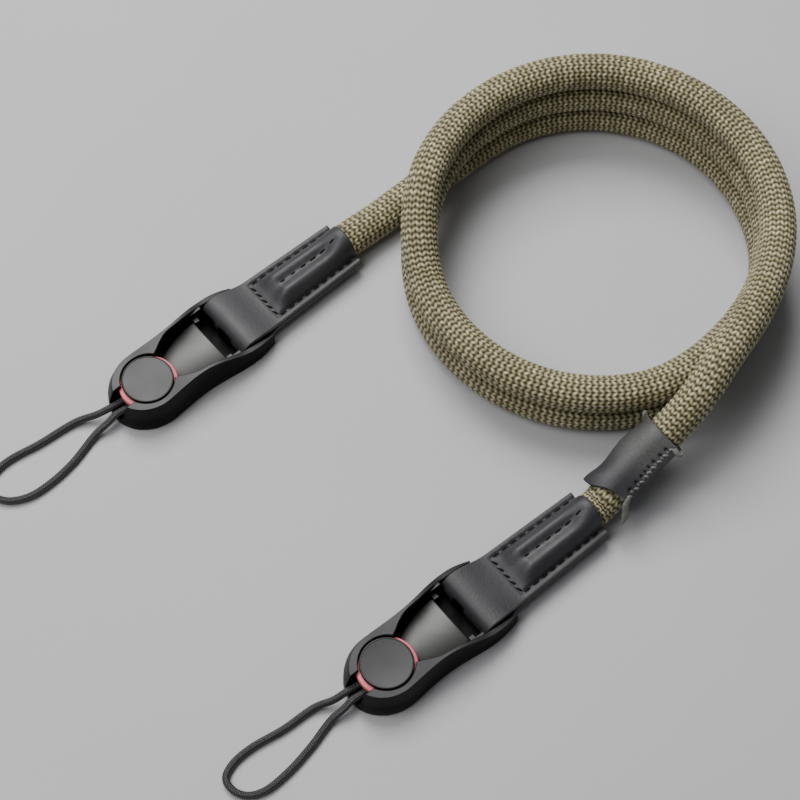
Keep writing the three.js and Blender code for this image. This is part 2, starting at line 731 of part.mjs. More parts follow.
// The strap
const path = ropePath();
addPiece(strap, 'rope', rope(path), ropeBraid);
addPiece(strap, 'keeper', keeper(path), leather);
for (const connector of CONNECTORS) {
  const group = new THREE.Group();
  group.position.set(connector.x, connector.y, 0);
  group.rotation.z = radians(connector.turn);
  addPiece(group, `${connector.name}_housing`, housing(), plastic);
  addPiece(group, `${connector.name}_spring_plate`, springPlate(), steel);
  addPiece(group, `${connector.name}_anchor_cap`, anchorCap(), plastic);
  addPiece(group, `${connector.name}_anchor_flange`, anchorFlange(), redPlastic);
  addPiece(group, `${connector.name}_leather_tab`, leatherTab(), leather);
  strap.add(group);
  const loop = tube(loopPath(connector), LOOP_RADIUS, LOOP_SIDES, LOOP_STEPS);
  addPiece(strap, `${connector.name}_anchor_loop`, loop, cordBraid);
}

export default strap;
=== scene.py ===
"""A camera neck strap that lies on a pale table: a coil of braided rope, a sewn leather tab on each
of its ends, and on each tab a black quick-release connector that holds a disc on a cord loop.
Lengths are in millimetres in the part's own frame, +Z up, and become metres where a mesh is made.
"""

import bpy
import numpy as np
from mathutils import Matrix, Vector


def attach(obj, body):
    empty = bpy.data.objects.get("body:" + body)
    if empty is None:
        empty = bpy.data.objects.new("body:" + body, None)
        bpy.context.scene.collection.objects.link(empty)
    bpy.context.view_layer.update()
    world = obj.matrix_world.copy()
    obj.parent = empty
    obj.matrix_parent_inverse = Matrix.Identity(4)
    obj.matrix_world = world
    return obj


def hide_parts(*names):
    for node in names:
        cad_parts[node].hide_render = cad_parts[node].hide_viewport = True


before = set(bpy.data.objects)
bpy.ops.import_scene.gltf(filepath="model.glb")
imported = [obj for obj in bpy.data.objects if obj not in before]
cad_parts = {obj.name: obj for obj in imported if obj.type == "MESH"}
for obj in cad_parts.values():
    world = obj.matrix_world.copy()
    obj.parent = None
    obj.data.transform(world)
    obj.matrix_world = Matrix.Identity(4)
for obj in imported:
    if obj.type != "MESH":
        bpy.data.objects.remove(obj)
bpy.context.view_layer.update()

MM = 0.001


# The camera looks down on the strap from the near side, as the photo does, with a long lens.
CAMERA_ELEVATION = np.radians(62.5)
CAMERA_DISTANCE = 680
LOOK_AT = Vector((12.3, 19.5, 0)) * MM

camera_data = bpy.data.cameras.new("camera")
camera_data.sensor_width = 36
camera_data.lens = 110.2
camera_data.clip_end = 20
camera = bpy.data.objects.new("camera", camera_data)
back_and_up = Vector((0, -np.cos(CAMERA_ELEVATION), np.sin(CAMERA_ELEVATION)))
camera.location = LOOK_AT + back_and_up * CAMERA_DISTANCE * MM
camera.rotation_euler = (-back_and_up).to_track_quat("-Z", "Y").to_euler()
bpy.context.scene.collection.objects.link(camera)
bpy.context.scene.camera = camera


# The rope is a round braid of olive and cream yarns, 10 mm thick. Its two ends are pressed flat
# between the layers of the leather tabs, and between them it lies in a coil of stacked turns.
ROPE_DIAMETER = 10.4
ROPE_RADIUS = ROPE_DIAMETER / 2
LAYER = ROPE_DIAMETER + 0.1  # from one turn up to the next
COIL_RADIUS = 49.5
COIL_CENTRE = np.array([67.1, 62.2])
COIL_ANGLES = np.arange(-30, 841, 15)
CONNECTORS = {"near": (8.85, -62.1, 39.4), "far": (-57.05, 21.2, 40.6)}  # x, y and turn
HIDDEN_END = 50  # where the rope's end lies inside a tab, from the middle of the disc
TAB_END = 70.3

# How the coil's turns run: degrees round the coil, share of its radius, and layer.
TURNS = np.array([
    (-40, 1.016, 2), (-10, 1, 2), (158, 1, 2), (204, 1, 1), (280, 0.99, 1), (318, 0.955, 1),
    (362, 0.995, 1), (514, 1, 1), (558, 1, 0), (640, 0.99, 0), (678, 0.955, 0), (722, 0.995, 0),
    (840, 1, 0),
])
CLIMB = [
    (68.9, -12.4, 8.4), (75.3, -5.2, 10.4), (80.1, -1.2, 13.2), (85.1, 2.6, 16.4),
    (90.1, 7.2, 19.8), (94.3, 12.0, 22.8), (98.5, 18.1, 25.0),
]
LEAVE = [(23.9, 90.6, 5.2), (13.7, 81.8, 5.2), (6.3, 75.2, 5.4)]


def smooth_step(value, start, end):
    """0 before start, 1 after end, and 3t^2 - 2t^3 between them."""
    t = np.clip((value - start) / (end - start), 0, 1)
    return t * t * (3 - 2 * t)


def read_table(rows, column, value):
    """The column's value at each key, with a smooth step from one row to the next."""
    after = np.clip(np.searchsorted(rows[:, 0], value, side="right"), 1, len(rows) - 1)
    a, b = rows[after - 1], rows[after]
    return a[:, column] + (b[:, column] - a[:, column]) * smooth_step(value, a[:, 0], b[:, 0])


def on_table(name, points):
    """Points of a connector's own frame, turned and shifted to where it lies."""
    x, y, turn = CONNECTORS[name]
    c, s = np.cos(np.radians(turn)), np.sin(np.radians(turn))
    return np.asarray(points, float) @ np.array([[c, s, 0], [-s, c, 0], [0, 0, 1]]) + [x, y, 0]


def in_connector(name, points):
    """The same the other way round."""
    x, y, turn = CONNECTORS[name]
    c, s = np.cos(np.radians(turn)), np.sin(np.radians(turn))
    return (np.asarray(points, float) - [x, y, 0]) @ np.array([[c, -s, 0], [s, c, 0], [0, 0, 1]])


def curve_through(points, per_span=40):
    """A smooth curve through the points: a centripetal spline, whose speed at a point comes from
    the square roots of the distances to its neighbours. Many points close together come back."""
    points = np.asarray(points, float)
    points = np.vstack([2 * points[0] - points[1], points, 2 * points[-1] - points[-2]])
    step = np.linalg.norm(np.diff(points, axis=0), axis=1)[:, None] ** 0.5
    p0, p1, p2, p3 = points[:-3], points[1:-2], points[2:-1], points[3:]
    d0, d1, d2 = step[:-2], step[1:-1], step[2:]
    m1 = ((p1 - p0) / d0 - (p2 - p0) / (d0 + d1) + (p2 - p1) / d1) * d1
    m2 = ((p2 - p1) / d1 - (p3 - p1) / (d1 + d2) + (p3 - p2) / d2) * d1
    t = (np.arange(per_span) / per_span)[None, :, None]
    a, b = 2 * (p1 - p2) + m1 + m2, 3 * (p2 - p1) - 2 * m1 - m2
    spans = p1[:, None] + m1[:, None] * t + b[:, None] * t**2 + a[:, None] * t**3
    return np.vstack([spans.reshape(-1, 3), points[-2]])


def unit(vectors):
    return vectors / np.linalg.norm(vectors, axis=-1, keepdims=True)


class Route:
    """A curve that gives its point, its level sideways direction and its upward direction at any
    distance along it."""

    def __init__(self, points):
        self.points = curve_through(points)
        steps = np.linalg.norm(np.diff(self.points, axis=0), axis=1)
        self.along = np.concatenate([[0], np.cumsum(steps)])
        self.length = self.along[-1]
        self.tangent = unit(np.gradient(self.points, self.along, axis=0))

    def read(self, table, distance):
        return np.stack([np.interp(distance, self.along, table[:, k]) for k in range(3)], axis=-1)

    def at(self, distance):
        tangent = self.read(self.tangent, distance)
        right = unit(np.cross(tangent, [0.0, 0.0, 1.0]))
        return self.read(self.points, distance), right, np.cross(right, tangent)


def grid_quads(rows, columns, wrap):
    """The quads between neighbours of a grid that is numbered row by row. Where it wraps, the
    last column joins the first."""
    r, c = np.meshgrid(np.arange(rows - 1), np.arange(columns if wrap else columns - 1), indexing="ij")
    first, second = r * columns + c, r * columns + (c + 1) % columns
    return np.stack([first, second, second + columns, first + columns], axis=-1).reshape(-1, 4)


def tube_faces(rings, count):
    """The quads round a tube of rings, and a face over each of its two ends."""
    ends = np.array([np.arange(count)[::-1], (rings - 1) * count + np.arange(count)])
    return grid_quads(rings, count, wrap=True), ends


def volume(points, faces):
    """Six times the volume: the sum over all triangles of a fan of a . (b x c)."""
    total = 0.0
    for group in faces:
        for k in range(1, group.shape[1] - 1):
            a, b, c = points[group[:, 0]], points[group[:, k]], points[group[:, k + 1]]
            total += np.einsum("ij,ij->", a, np.cross(b, c))
    return total


def make_mesh(name, points, faces, uv=None):
    """A smooth mesh object from points in millimetres and arrays of faces, with its faces out. The
    uv arrays have one row for each corner of each face, in the faces' order."""
    points = np.asarray(points, float).reshape(-1, 3)
    faces = [np.asarray(group) for group in (faces if isinstance(faces, list) else [faces])]
    if volume(points, faces) < 0:
        faces = [group[:, ::-1] for group in faces]
        uv = None if uv is None else [group[:, ::-1] for group in uv]
    mesh = bpy.data.meshes.new(name)
    mesh.from_pydata((points * MM).tolist(), [], [f for group in faces for f in group.tolist()])
    if uv is not None:
        layer = mesh.uv_layers.new(name="pattern")
        flat = np.concatenate([group.reshape(-1, 2) for group in uv])
        layer.data.foreach_set("uv", flat.astype(np.float32).ravel())
    mesh.shade_smooth()
    piece = bpy.data.objects.new(name, mesh)
    bpy.context.scene.collection.objects.link(piece)
    return piece


def make_piece(name, points, faces, uv=None):
    """The same, as a part of the strap."""
    piece = make_mesh(name, points, faces, uv)
    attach(piece, "root")
    return piece


# The leather's two outer faces over the pressed rope, by x along a tab and y across it.
SEAM_LEVEL = 4.35
LEATHER = 1.4
LAYER_GAP = 0.3
TAB_STITCH = 41
TAB_HALF_WIDTH = 8.4  # at the row of stitches across
TAB_END_HALF_WIDTH = 7.7
TAB_FLANGE = 2
NECK_WIDENING = 0.1
BAR_X = 29.5
BOX_RISE = 6.5
RIDGE_HEIGHT = 3.5
MOUTH_HEIGHT = 5.8
MOUTH_LENGTH = 9
TAB_REST = 0.3
VALLEY = 0.78


def tab_half_width(x):
    """It widens over the neck up to the bar, and narrows evenly over the sewn part."""
    sewn = np.maximum(0, x - TAB_STITCH) / (TAB_END - TAB_STITCH)
    widening = NECK_WIDENING * (1 - smooth_step(x, BAR_X, TAB_STITCH))
    return TAB_HALF_WIDTH * (1 + widening) + (TAB_END_HALF_WIDTH - TAB_HALF_WIDTH) * sewn


def box_half_width(x):
    return tab_half_width(x) - TAB_FLANGE


def tab_top(x, y):
    """The flat flange, plus two ridges with a valley between them along the box, which turn into
    one round dome at the mouth."""
    u = np.minimum(1, np.abs(y) / box_half_width(x))
    ridges = (1 - u**4) * (1 - (1 - VALLEY) * (1 + np.cos(2 * np.pi * u)) / 2)
    dome = np.sqrt(1 - u * u) * (1 - u**8)
    mouth = smooth_step(x, TAB_END - MOUTH_LENGTH, TAB_END - 1)
    rise = smooth_step(x, TAB_STITCH, TAB_STITCH + BOX_RISE)
    box = RIDGE_HEIGHT * rise * ridges * (1 - mouth) + MOUTH_HEIGHT * dome * mouth
    return SEAM_LEVEL + LAYER_GAP / 2 + LEATHER + box


def tab_underside(x, y):
    """The flat flange, sinking to the table under the box."""
    u = np.minimum(1, np.abs(y) / box_half_width(x))
    flange = SEAM_LEVEL - LAYER_GAP / 2 - LEATHER
    sink = smooth_step(x, TAB_STITCH, TAB_STITCH + BOX_RISE) * (1 - u**4)
    return flange + (TAB_REST - flange) * sink


def rope_in_tab(name):
    """The rope's middle inside a tab and just past it, at the middle of the mouth."""
    level = (tab_top(TAB_END, 0) + tab_underside(TAB_END, 0)) / 2
    along = [HIDDEN_END, (HIDDEN_END + TAB_END) / 2, TAB_END + ROPE_RADIUS / 2]
    return on_table(name, [(x, 0, level) for x in along])


coil_radius = COIL_RADIUS * read_table(TURNS, 1, COIL_ANGLES)
coil_level = ROPE_RADIUS + LAYER * read_table(TURNS, 2, COIL_ANGLES)
coil = np.stack([
    COIL_CENTRE[0] + coil_radius * np.cos(np.radians(COIL_ANGLES)),
    COIL_CENTRE[1] + coil_radius * np.sin(np.radians(COIL_ANGLES)),
    coil_level,
], axis=-1)
rope_route = Route(np.vstack([rope_in_tab("near"), CLIMB, coil, LEAVE, rope_in_tab("far")[::-1]]))

BRAID_COLUMNS = 28  # of floats round the rope
BRAID_PITCH = 1.7  # from one float to the next along a column
BRAID_SLANT = 0.34  # how far a float rises over half a column
RINGS_PER_PITCH = 3
FLOAT_RELIEF = 0.3
PRESS_GAP = 0.3
PRESSED_THIN = 0.15  # the least half thickness


def braided_tube(name, route, radius, columns, pitch, slant, relief, rings_per_pitch=4, press=None):
    """A tube whose rings follow the braid: each ring zigzags from column to column by the slant, so
    that it runs along the crests of the floats or the gaps between them. The radius is a cosine
    of the place between two crests, deepest between columns. U counts the columns and V the
    crests."""
    count = 2 * columns
    rings = int(route.length / pitch) * rings_per_pitch
    spaced = np.linspace(0, route.length, rings + 1)
    column = np.arange(count) / 2
    zigzag = 1 - 2 * np.abs(column % 2 - 1)
    near_end = smooth_step(np.minimum(spaced, route.length - spaced), 0, 4 * slant)
    distance = spaced[:, None] + slant * near_end[:, None] * zigzag[None, :]
    centre, right, up = route.at(distance)
    crest = np.cos(2 * np.pi * np.arange(rings + 1) / rings_per_pitch)[:, None]
    between = (np.arange(count) % 2 == 0)[None, :]
    reach = radius - relief * (0.1 + 0.25 * between + (0.3 + 0.45 * between) * (1 - crest))
    angle = 2 * np.pi * column / columns
    points = centre + reach[..., None] * (
        np.cos(angle)[None, :, None] * right + np.sin(angle)[None, :, None] * up
    )
    if press is not None:
        points = press(points)
    quads, ends = tube_faces(rings + 1, count)
    ring, place = quads[:, 0] // count, quads[:, 0] % count
    u = np.stack([place, place + 1, place + 1, place], axis=1) / 2
    v = np.stack([ring, ring, ring + 1, ring + 1], axis=1) / rings_per_pitch
    uv = [np.stack([u, v], axis=-1), np.zeros((2, count, 2))]
    tube = make_piece(name, points, [quads, ends], uv=uv)
    path = route.read(route.points, spaced[::rings_per_pitch])
    return tube, path


def press_into_tabs(points):
    """Where the rope lies between a tab's layers, its height is clipped to the room there."""
    for name in CONNECTORS:
        x, y, z = np.moveaxis(in_connector(name, points), -1, 0)
        inside = (x < TAB_END + LAYER_GAP) & (x > TAB_STITCH) & (np.abs(y) < TAB_HALF_WIDTH)
        x = np.minimum(x, TAB_END)
        low = tab_underside(x, y) + LEATHER + PRESS_GAP
        high = tab_top(x, y) - LEATHER - PRESS_GAP
        middle, room = (low + high) / 2, np.maximum(PRESSED_THIN, (high - low) / 2)
        points[..., 2] = np.where(inside, np.clip(z, middle - room, middle + room), points[..., 2])
    return points


rope, rope_path = braided_tube(
    "braided_rope", rope_route, ROPE_RADIUS, BRAID_COLUMNS, BRAID_PITCH, BRAID_SLANT, FLOAT_RELIEF,
    RINGS_PER_PITCH, press_into_tabs,
)
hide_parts("rope")


# The braid's shading, for the rope and for the thin loops: a float is a rounded ridge along the
# crest line, ends where it dives at its column's edge, and leaves a gap to the next one. The
# materials turn this height into colour: painted shade in the gaps and a painted highlight on the
# crests.
def new_group(name, inputs, outputs):
    """A shader node group with number or vector inputs and number outputs."""
    group = bpy.data.node_groups.new(name, "ShaderNodeTree")
    for socket, kind, default in inputs:
        made = group.interface.new_socket(name=socket, in_out="INPUT", socket_type=kind)
        if default is not None:
            made.default_value = default
    for socket in outputs:
        group.interface.new_socket(name=socket, in_out="OUTPUT", socket_type="NodeSocketFloat")
    return group, group.nodes.new("NodeGroupInput"), group.nodes.new("NodeGroupOutput")


def link_value(tree, value, socket):
    """Puts a number, or a link from another socket, into a socket."""
    if isinstance(value, (int, float, tuple)):
        socket.default_value = value
    else:
        tree.links.new(value, socket)


def math(tree, operation, *values, clamp=False):
    """A Math node over numbers or sockets; gives its output socket."""
    node = tree.nodes.new("ShaderNodeMath")
    node.operation = operation
    node.use_clamp = clamp
    for value, socket in zip(values, node.inputs):
        link_value(tree, value, socket)
    return node.outputs[0]


def noise(tree, vector, scale, detail=2.0, roughness=0.5):
    node = tree.nodes.new("ShaderNodeTexNoise")
    tree.links.new(vector, node.inputs["Vector"])
    link_value(tree, scale, node.inputs["Scale"])
    node.inputs["Detail"].default_value = detail
    node.inputs["Roughness"].default_value = roughness
    return node.outputs[0]


def combine(tree, x, y, z=0.0):
    node = tree.nodes.new("ShaderNodeCombineXYZ")
    for value, socket in zip((x, y, z), node.inputs):
        link_value(tree, value, socket)
    return node.outputs[0]


braid, braid_in, braid_out = new_group(
    "braid",
    [("Place", "NodeSocketVector", None), ("Fibre", "NodeSocketFloat", 0.15)],
    ["Height", "Float", "Tone"],
)
place = braid.nodes.new("ShaderNodeSeparateXYZ")
braid.links.new(braid_in.outputs["Place"], place.inputs[0])
column_at = math(braid, "FLOOR", place.outputs["X"])
across = math(braid, "SUBTRACT", math(braid, "FRACT", place.outputs["X"]), 0.5)
crest_at = math(braid, "FLOOR", math(braid, "ADD", place.outputs["Y"], 0.5))
from_crest = math(braid, "SUBTRACT", place.outputs["Y"], crest_at)
wave = math(braid, "COSINE", math(braid, "MULTIPLY", place.outputs["Y"], 2 * np.pi))
ridge = math(braid, "POWER", math(braid, "MULTIPLY_ADD", wave, 0.5, 0.5), 0.8)
edge = math(braid, "POWER", math(braid, "MULTIPLY", math(braid, "ABSOLUTE", across), 2.0), 1.8)
low = math(braid, "MULTIPLY_ADD", edge, -0.46, 0.46)
high = math(braid, "MULTIPLY_ADD", edge, -0.28, 1.0)
body = math(braid, "MULTIPLY_ADD", ridge, math(braid, "SUBTRACT", high, low), low)
which = braid.nodes.new("ShaderNodeTexWhiteNoise")
which.noise_dimensions = "2D"
braid.links.new(combine(braid, column_at, crest_at), which.inputs["Vector"])
strand = combine(
    braid, math(braid, "MULTIPLY", across, 3.0), math(braid, "MULTIPLY", from_crest, 14.0),
    math(braid, "MULTIPLY", which.outputs[0], 40.0),
)
fibre = math(braid, "SUBTRACT", noise(braid, strand, 1.6, 3.0), 0.5)
height = math(braid, "ADD", body, math(braid, "MULTIPLY", fibre, braid_in.outputs["Fibre"]))
braid.links.new(height, braid_out.inputs["Height"])
braid.links.new(body, braid_out.inputs["Float"])
braid.links.new(which.outputs[0], braid_out.inputs["Tone"])


def new_material(name, **sockets):
    """A material with one Principled BSDF whose own sockets take the given numbers."""
    material = bpy.data.materials.new(name)
    material.use_nodes = True
    shader = material.node_tree.nodes["Principled BSDF"]
    for socket, value in sockets.items():
        shader.inputs[socket.replace("_", " ")].default_value = value
    return material, material.node_tree, shader


def ramp(tree, value, stops):
    """A Color Ramp over a value, from a list of (place, colour), where a number is a grey."""
    node = tree.nodes.new("ShaderNodeValToRGB")
    while len(node.color_ramp.elements) < len(stops):
        node.color_ramp.elements.new(0.5)
    for element, (at, colour) in zip(node.color_ramp.elements, stops):
        element.position = at
        element.color = (*(colour if isinstance(colour, tuple) else (colour,) * 3), 1)
    tree.links.new(value, node.inputs[0])
    return node.outputs[0]


def mix(tree, factor, a, b, blend="MIX"):
    """A colour Mix node over a factor and two colours or sockets."""
    node = tree.nodes.new("ShaderNodeMix")
    node.data_type = "RGBA"
    node.blend_type = blend
    link_value(tree, factor, node.inputs["Factor"])
    for value, socket in ((a, node.inputs[6]), (b, node.inputs[7])):
        link_value(tree, (*value, 1) if isinstance(value, tuple) else value, socket)
    return node.outputs[2]


def bump(tree, height, distance, strength=1.0, normal=None):
    """A Bump node over a height, as deep as distance in millimetres."""
    node = tree.nodes.new("ShaderNodeBump")
    node.inputs["Strength"].default_value = strength
    node.inputs["Distance"].default_value = distance * MM
    tree.links.new(height, node.inputs["Height"])
    if normal is not None:
        tree.links.new(normal, node.inputs["Normal"])
    return node.outputs[0]


def coordinates(tree, kind="Object"):
    return tree.nodes.new("ShaderNodeTexCoord").outputs[kind]


def add_braid(tree, fibre):
    """The braid group over the piece's own pattern, with the material's own fibre depth."""
    node = tree.nodes.new("ShaderNodeGroup")
    node.node_tree = braid
    node.inputs["Fibre"].default_value = fibre
    tree.links.new(coordinates(tree, "UV"), node.inputs["Place"])
    return node.outputs


material, tree, shader = new_material("rope_braid", Roughness=0.7, Sheen_Weight=0.1)
woven = add_braid(tree, 0.35)
# Each ramp runs from painted shade in the gaps between floats to a painted highlight on their crests,
# over the yarn's own olive or cream tone.
olive = ramp(tree, woven["Float"], [
    (0.0, (0.010, 0.008, 0.004)), (0.4, (0.070, 0.057, 0.022)), (0.8, (0.28, 0.245, 0.11)),
    (1.0, (0.50, 0.45, 0.25)),
])
cream = ramp(tree, woven["Float"], [
    (0.0, (0.012, 0.010, 0.005)), (0.4, (0.125, 0.104, 0.045)), (0.8, (0.50, 0.445, 0.26)),
    (1.0, (0.78, 0.72, 0.49)),
])
pale = math(tree, "POWER", woven["Tone"], 1.6)
patches = noise(tree, coordinates(tree), 60.0, 2.0)
shade = ramp(tree, patches, [(0.3, (0.82, 0.82, 0.80)), (0.7, 1.0)])
yarn = mix(tree, 1.0, mix(tree, pale, olive, cream), shade, "MULTIPLY")
tree.links.new(yarn, shader.inputs["Base Color"])
tree.links.new(bump(tree, woven["Height"], 0.5, 0.9), shader.inputs["Normal"])
rope.data.materials.append(material)


# Each anchor's loop is a thin, limp black braided cord. Its two ends go in under the disc's
# flange through the slot in the connector's nose, and the rest lies on the table.
LOOP_DIAMETER = 2.1
LOOP_RADIUS = LOOP_DIAMETER / 2
LOOP_LEVEL = 4.2
FLANGE_RADIUS = 8.3
NOSE_BASE_REACH = 12
LOOPS = {
    "near": [
        (-5.0, -69.8, 2.7), (-9.8, -71.3, 1.4), (-18.0, -77.3, 1.1), (-26.4, -82.5, 1.1),
        (-30.9, -86.8, 1.1), (-32.4, -90.6, 1.1), (-30.2, -93.9, 1.1), (-26.6, -95.1, 1.1),
        (-22.4, -93.9, 1.1), (-16.6, -89.0, 1.1), (-10.7, -82.0, 1.1), (-5.6, -74.9, 1.5),
        (-2.0, -72.1, 3.1),
    ],
    "far": [
        (-71.0, 13.7, 2.7), (-77.0, 12.0, 1.4), (-87.1, 5.1, 1.1), (-94.1, 0.8, 1.1),
        (-97.6, -2.5, 1.1), (-99.6, -6.4, 1.1), (-98.5, -10.2, 1.1), (-94.2, -11.9, 1.1),
        (-88.5, -10.7, 1.1), (-83.0, -6.7, 1.1), (-77.2, -0.4, 1.1), (-71.4, 8.1, 1.5),
        (-67.9, 10.9, 3.1),
    ],
}

cord_black, tree, shader = new_material("cord_braid", Roughness=0.38)
woven = add_braid(tree, 0.3)
# The cord's black runs from painted shade in the gaps to a pale painted glint on the floats' crests.
black = ramp(tree, woven["Float"], [(0.0, 0.003), (0.6, 0.018), (1.0, 0.085)])
tree.links.new(black, shader.inputs["Base Color"])
tree.links.new(bump(tree, woven["Height"], 0.16, 0.9), shader.inputs["Normal"])

leg_x = (-FLANGE_RADIUS * 0.6, -FLANGE_RADIUS - LOOP_RADIUS, -NOSE_BASE_REACH)
for name in CONNECTORS:
    first, last = (
        on_table(name, [(x, y, LOOP_LEVEL) for x, y in zip(leg_x, leg_y)])
        for leg_y in [(1.3, 1.7, 2), (-1.3, -1, -0.7)]
    )
    route = Route(np.vstack([first, LOOPS[name], last[::-1]]))
    loop, path = braided_tube(
        f"{name}_cord_loop", route, LOOP_RADIUS, columns=8, pitch=0.62, slant=0.32, relief=0.1,
    )
    loop.data.materials.append(cord_black)
    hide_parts(f"{name}_anchor_loop")


# Each leather tab is one strip of black leather, folded round the connector's bar and sewn to
# itself over the rope's pressed end: a row across, a row along each side and one in the middle.
BAR_LEVEL, BAR_RADIUS = 4.3, 1.9
WRAP_INNER = BAR_RADIUS + 0.3
WRAP_OUTER = WRAP_INNER + LEATHER
EDGE_ROUND = 0.3
ROW_OUTSIDE = 0.1  # of the side rows, past the box's foot
MIDDLE_ROW_AT = 0.4
MIDDLE_ROW = (47.5, 67.5)  # where it starts and ends
SIDE_PITCH, MIDDLE_PITCH = 3.05, 3.6
STITCH_SIZE = {"half_length": 1.1, "radius": 0.34}
GROOVE_DEPTH = 0.42
GROOVE_WIDTH = 0.5


def groove(distance):
    """A soft groove: its depth times a bell curve of the distance from its middle."""
    return GROOVE_DEPTH * np.exp(-((distance / GROOVE_WIDTH) ** 2))


def sewn_top(x, y):
    """The tab's top, pulled down along the rows of stitches."""
    row = box_half_width(x) + ROW_OUTSIDE
    side = groove(np.abs(y) - row) * smooth_step(x, TAB_STITCH - 1, TAB_STITCH)
    front = groove(x - TAB_STITCH) * smooth_step(row + 0.6 - np.abs(y), 0, 0.6)
    start, end = MIDDLE_ROW
    in_middle = smooth_step(x, start - 1, start) * smooth_step(end + 1 - x, 0, 1)
    middle = groove(y - MIDDLE_ROW_AT) * in_middle
    pucker = 1 + 0.3 * np.cos(2 * np.pi * x / SIDE_PITCH)
    return tab_top(x, y) - np.maximum(side, front) * pucker - middle * pucker


def edge_sink(y, half):
    """How far a face drops near the strip's edge: a quarter circle of the edge's radius."""
    past = np.clip((np.abs(y) - (half - EDGE_ROUND)) / EDGE_ROUND, 0, 1)
    return EDGE_ROUND * (1 - np.sqrt(1 - past**2))


def leather_tab(name):
    """The strip as a grid: along it, from the rope's end of the lower layer, round the bar as a
    half circle, and back on the upper layer; across it, over the outer face and back on the
    inner one, which lies one thickness inside."""
    mouth, sewn = np.linspace(TAB_END, TAB_END - 6, 18), np.linspace(TAB_END - 6.4, TAB_STITCH, 62)
    along = np.concatenate([mouth, sewn])
    neck = np.linspace(TAB_STITCH, BAR_X, 22)[1:-1]
    across = np.sin(np.linspace(-1, 1, 57) * np.pi / 2)
    across = np.sign(across) * np.abs(across) ** 0.8
    turn = np.linspace(-np.pi / 2, -3 * np.pi / 2, 25)[:, None]

    def neck_rows(x, side):
        t = smooth_step(x, BAR_X, TAB_STITCH)[:, None]
        at_bar = BAR_LEVEL + side * WRAP_OUTER
        at_stitch = SEAM_LEVEL + side * (LAYER_GAP / 2 + LEATHER)
        level = at_bar + (at_stitch - at_bar) * t + 0 * across
        return x[:, None] + 0 * across, level, x[:, None] + 0 * across, level - side * LEATHER

    def layer_rows(x, side):
        y = tab_half_width(x)[:, None] * across
        x = x[:, None] + 0 * across
        level = sewn_top(x, y) if side > 0 else tab_underside(x, y)
        return x, level, x, (tab_top(x, y) if side > 0 else level) - side * LEATHER

    def half_circle(radius):
        return BAR_X + radius * np.cos(turn) + 0 * across, BAR_LEVEL + radius * np.sin(turn) + 0 * across

    wrap = (*half_circle(WRAP_OUTER), *half_circle(WRAP_INNER))
    parts = [
        layer_rows(along, -1), neck_rows(neck, -1), wrap, neck_rows(neck[::-1], 1),
        layer_rows(along[::-1], 1),
    ]
    x_out, z_out, x_in, z_in = (np.vstack([part[k] for part in parts]) for k in range(4))
    half = tab_half_width(x_out[:, :1])
    y = half * across
    sink = edge_sink(y, half)
    sink_x, sink_z = np.moveaxis(unit(np.stack([x_in - x_out, z_in - z_out], axis=-1)), -1, 0) * sink
    outer = np.stack([x_out + sink_x, y, z_out + sink_z], axis=-1)
    inner = np.stack([x_in - sink_x, y, z_in - sink_z], axis=-1)
    rings = np.concatenate([outer, inner[:, ::-1]], axis=1)
    count = rings.shape[1]
    n = len(across)
    cap = grid_quads(2, n, wrap=False)
    cap = np.where(cap >= n, 2 * n - 1 - (cap - n), cap)
    quads = grid_quads(len(rings), count, wrap=True)
    faces = np.vstack([quads, cap[:, ::-1], cap + (len(rings) - 1) * count])
    tab = make_piece(name, on_table(name.split("_")[0], rings), [faces])
    from_edge = half - np.abs(np.concatenate([y, y[:, ::-1]], axis=1))
    mark(tab, "raw_edge_and_painted_light", 0.3 * (1 - smooth_step(from_edge, 0.02, 0.25)))
    return tab


def mark(piece, name, values):
    """Gives each point of a piece a number that its material can read."""
    layer = piece.data.attributes.new(name, "FLOAT", "POINT")
    layer.data.foreach_set("value", np.asarray(values, np.float32).ravel())


def rods(name, centres, along, up, half_length, radius):
    """Many small rods with round ends as one mesh. A rod's sections are circles whose radius is a
    power of the cosine along it, round its own axis."""
    latitude = np.radians([-82, -60, -35, 0, 35, 60, 82])
    turn = np.arange(8) * np.pi / 4
    along = unit(along)
    side = unit(np.cross(along, up))
    over = np.cross(side, along)
    ring = side[:, None, None] * np.cos(turn)[:, None] + over[:, None, None] * np.sin(turn)[:, None]
    points = (
        centres[:, None, None] + along[:, None, None] * (np.sin(latitude) * half_length)[:, None, None]
        + ring * (np.cos(latitude) ** 0.7 * radius)[:, None, None]
    )
    start = (np.arange(len(centres)) * len(latitude) * 8)[:, None, None]
    quads, ends = tube_faces(len(latitude), 8)
    return make_piece(name, points, [(start + quads).reshape(-1, 4), (start + ends).reshape(-1, 8)])


def tab_stitches(name):
    """Where the stitches of one tab lie: their middles and their directions, as points and steps on
    the sewn top."""
    side_x = np.arange(TAB_STITCH + 1.8, TAB_END - 1.4, SIDE_PITCH)
    side_y = box_half_width(side_x) + ROW_OUTSIDE
    middle_x = np.arange(MIDDLE_ROW[0] + 0.9, MIDDLE_ROW[1], MIDDLE_PITCH)
    front_y = np.linspace(-TAB_HALF_WIDTH, TAB_HALF_WIDTH, 7)[1:-1] * 0.87
    x = np.concatenate([side_x, side_x, middle_x, 0 * front_y + TAB_STITCH])
    y = np.concatenate([-side_y, side_y, 0 * middle_x + MIDDLE_ROW_AT, front_y])
    step = np.where((x == TAB_STITCH)[:, None], [-0.45, 1.0], [1.0, 0]) * 0.5
    level = lambda x, y: sewn_top(x, y) + 0.1
    rise = level(x + step[:, 0], y + step[:, 1]) - level(x - step[:, 0], y - step[:, 1])
    centres = np.stack([x, y, level(x, y)], axis=-1)
    ahead = np.stack([2 * step[:, 0], 2 * step[:, 1], rise], axis=-1)
    return on_table(name, centres), on_table(name, centres + ahead) - on_table(name, centres)


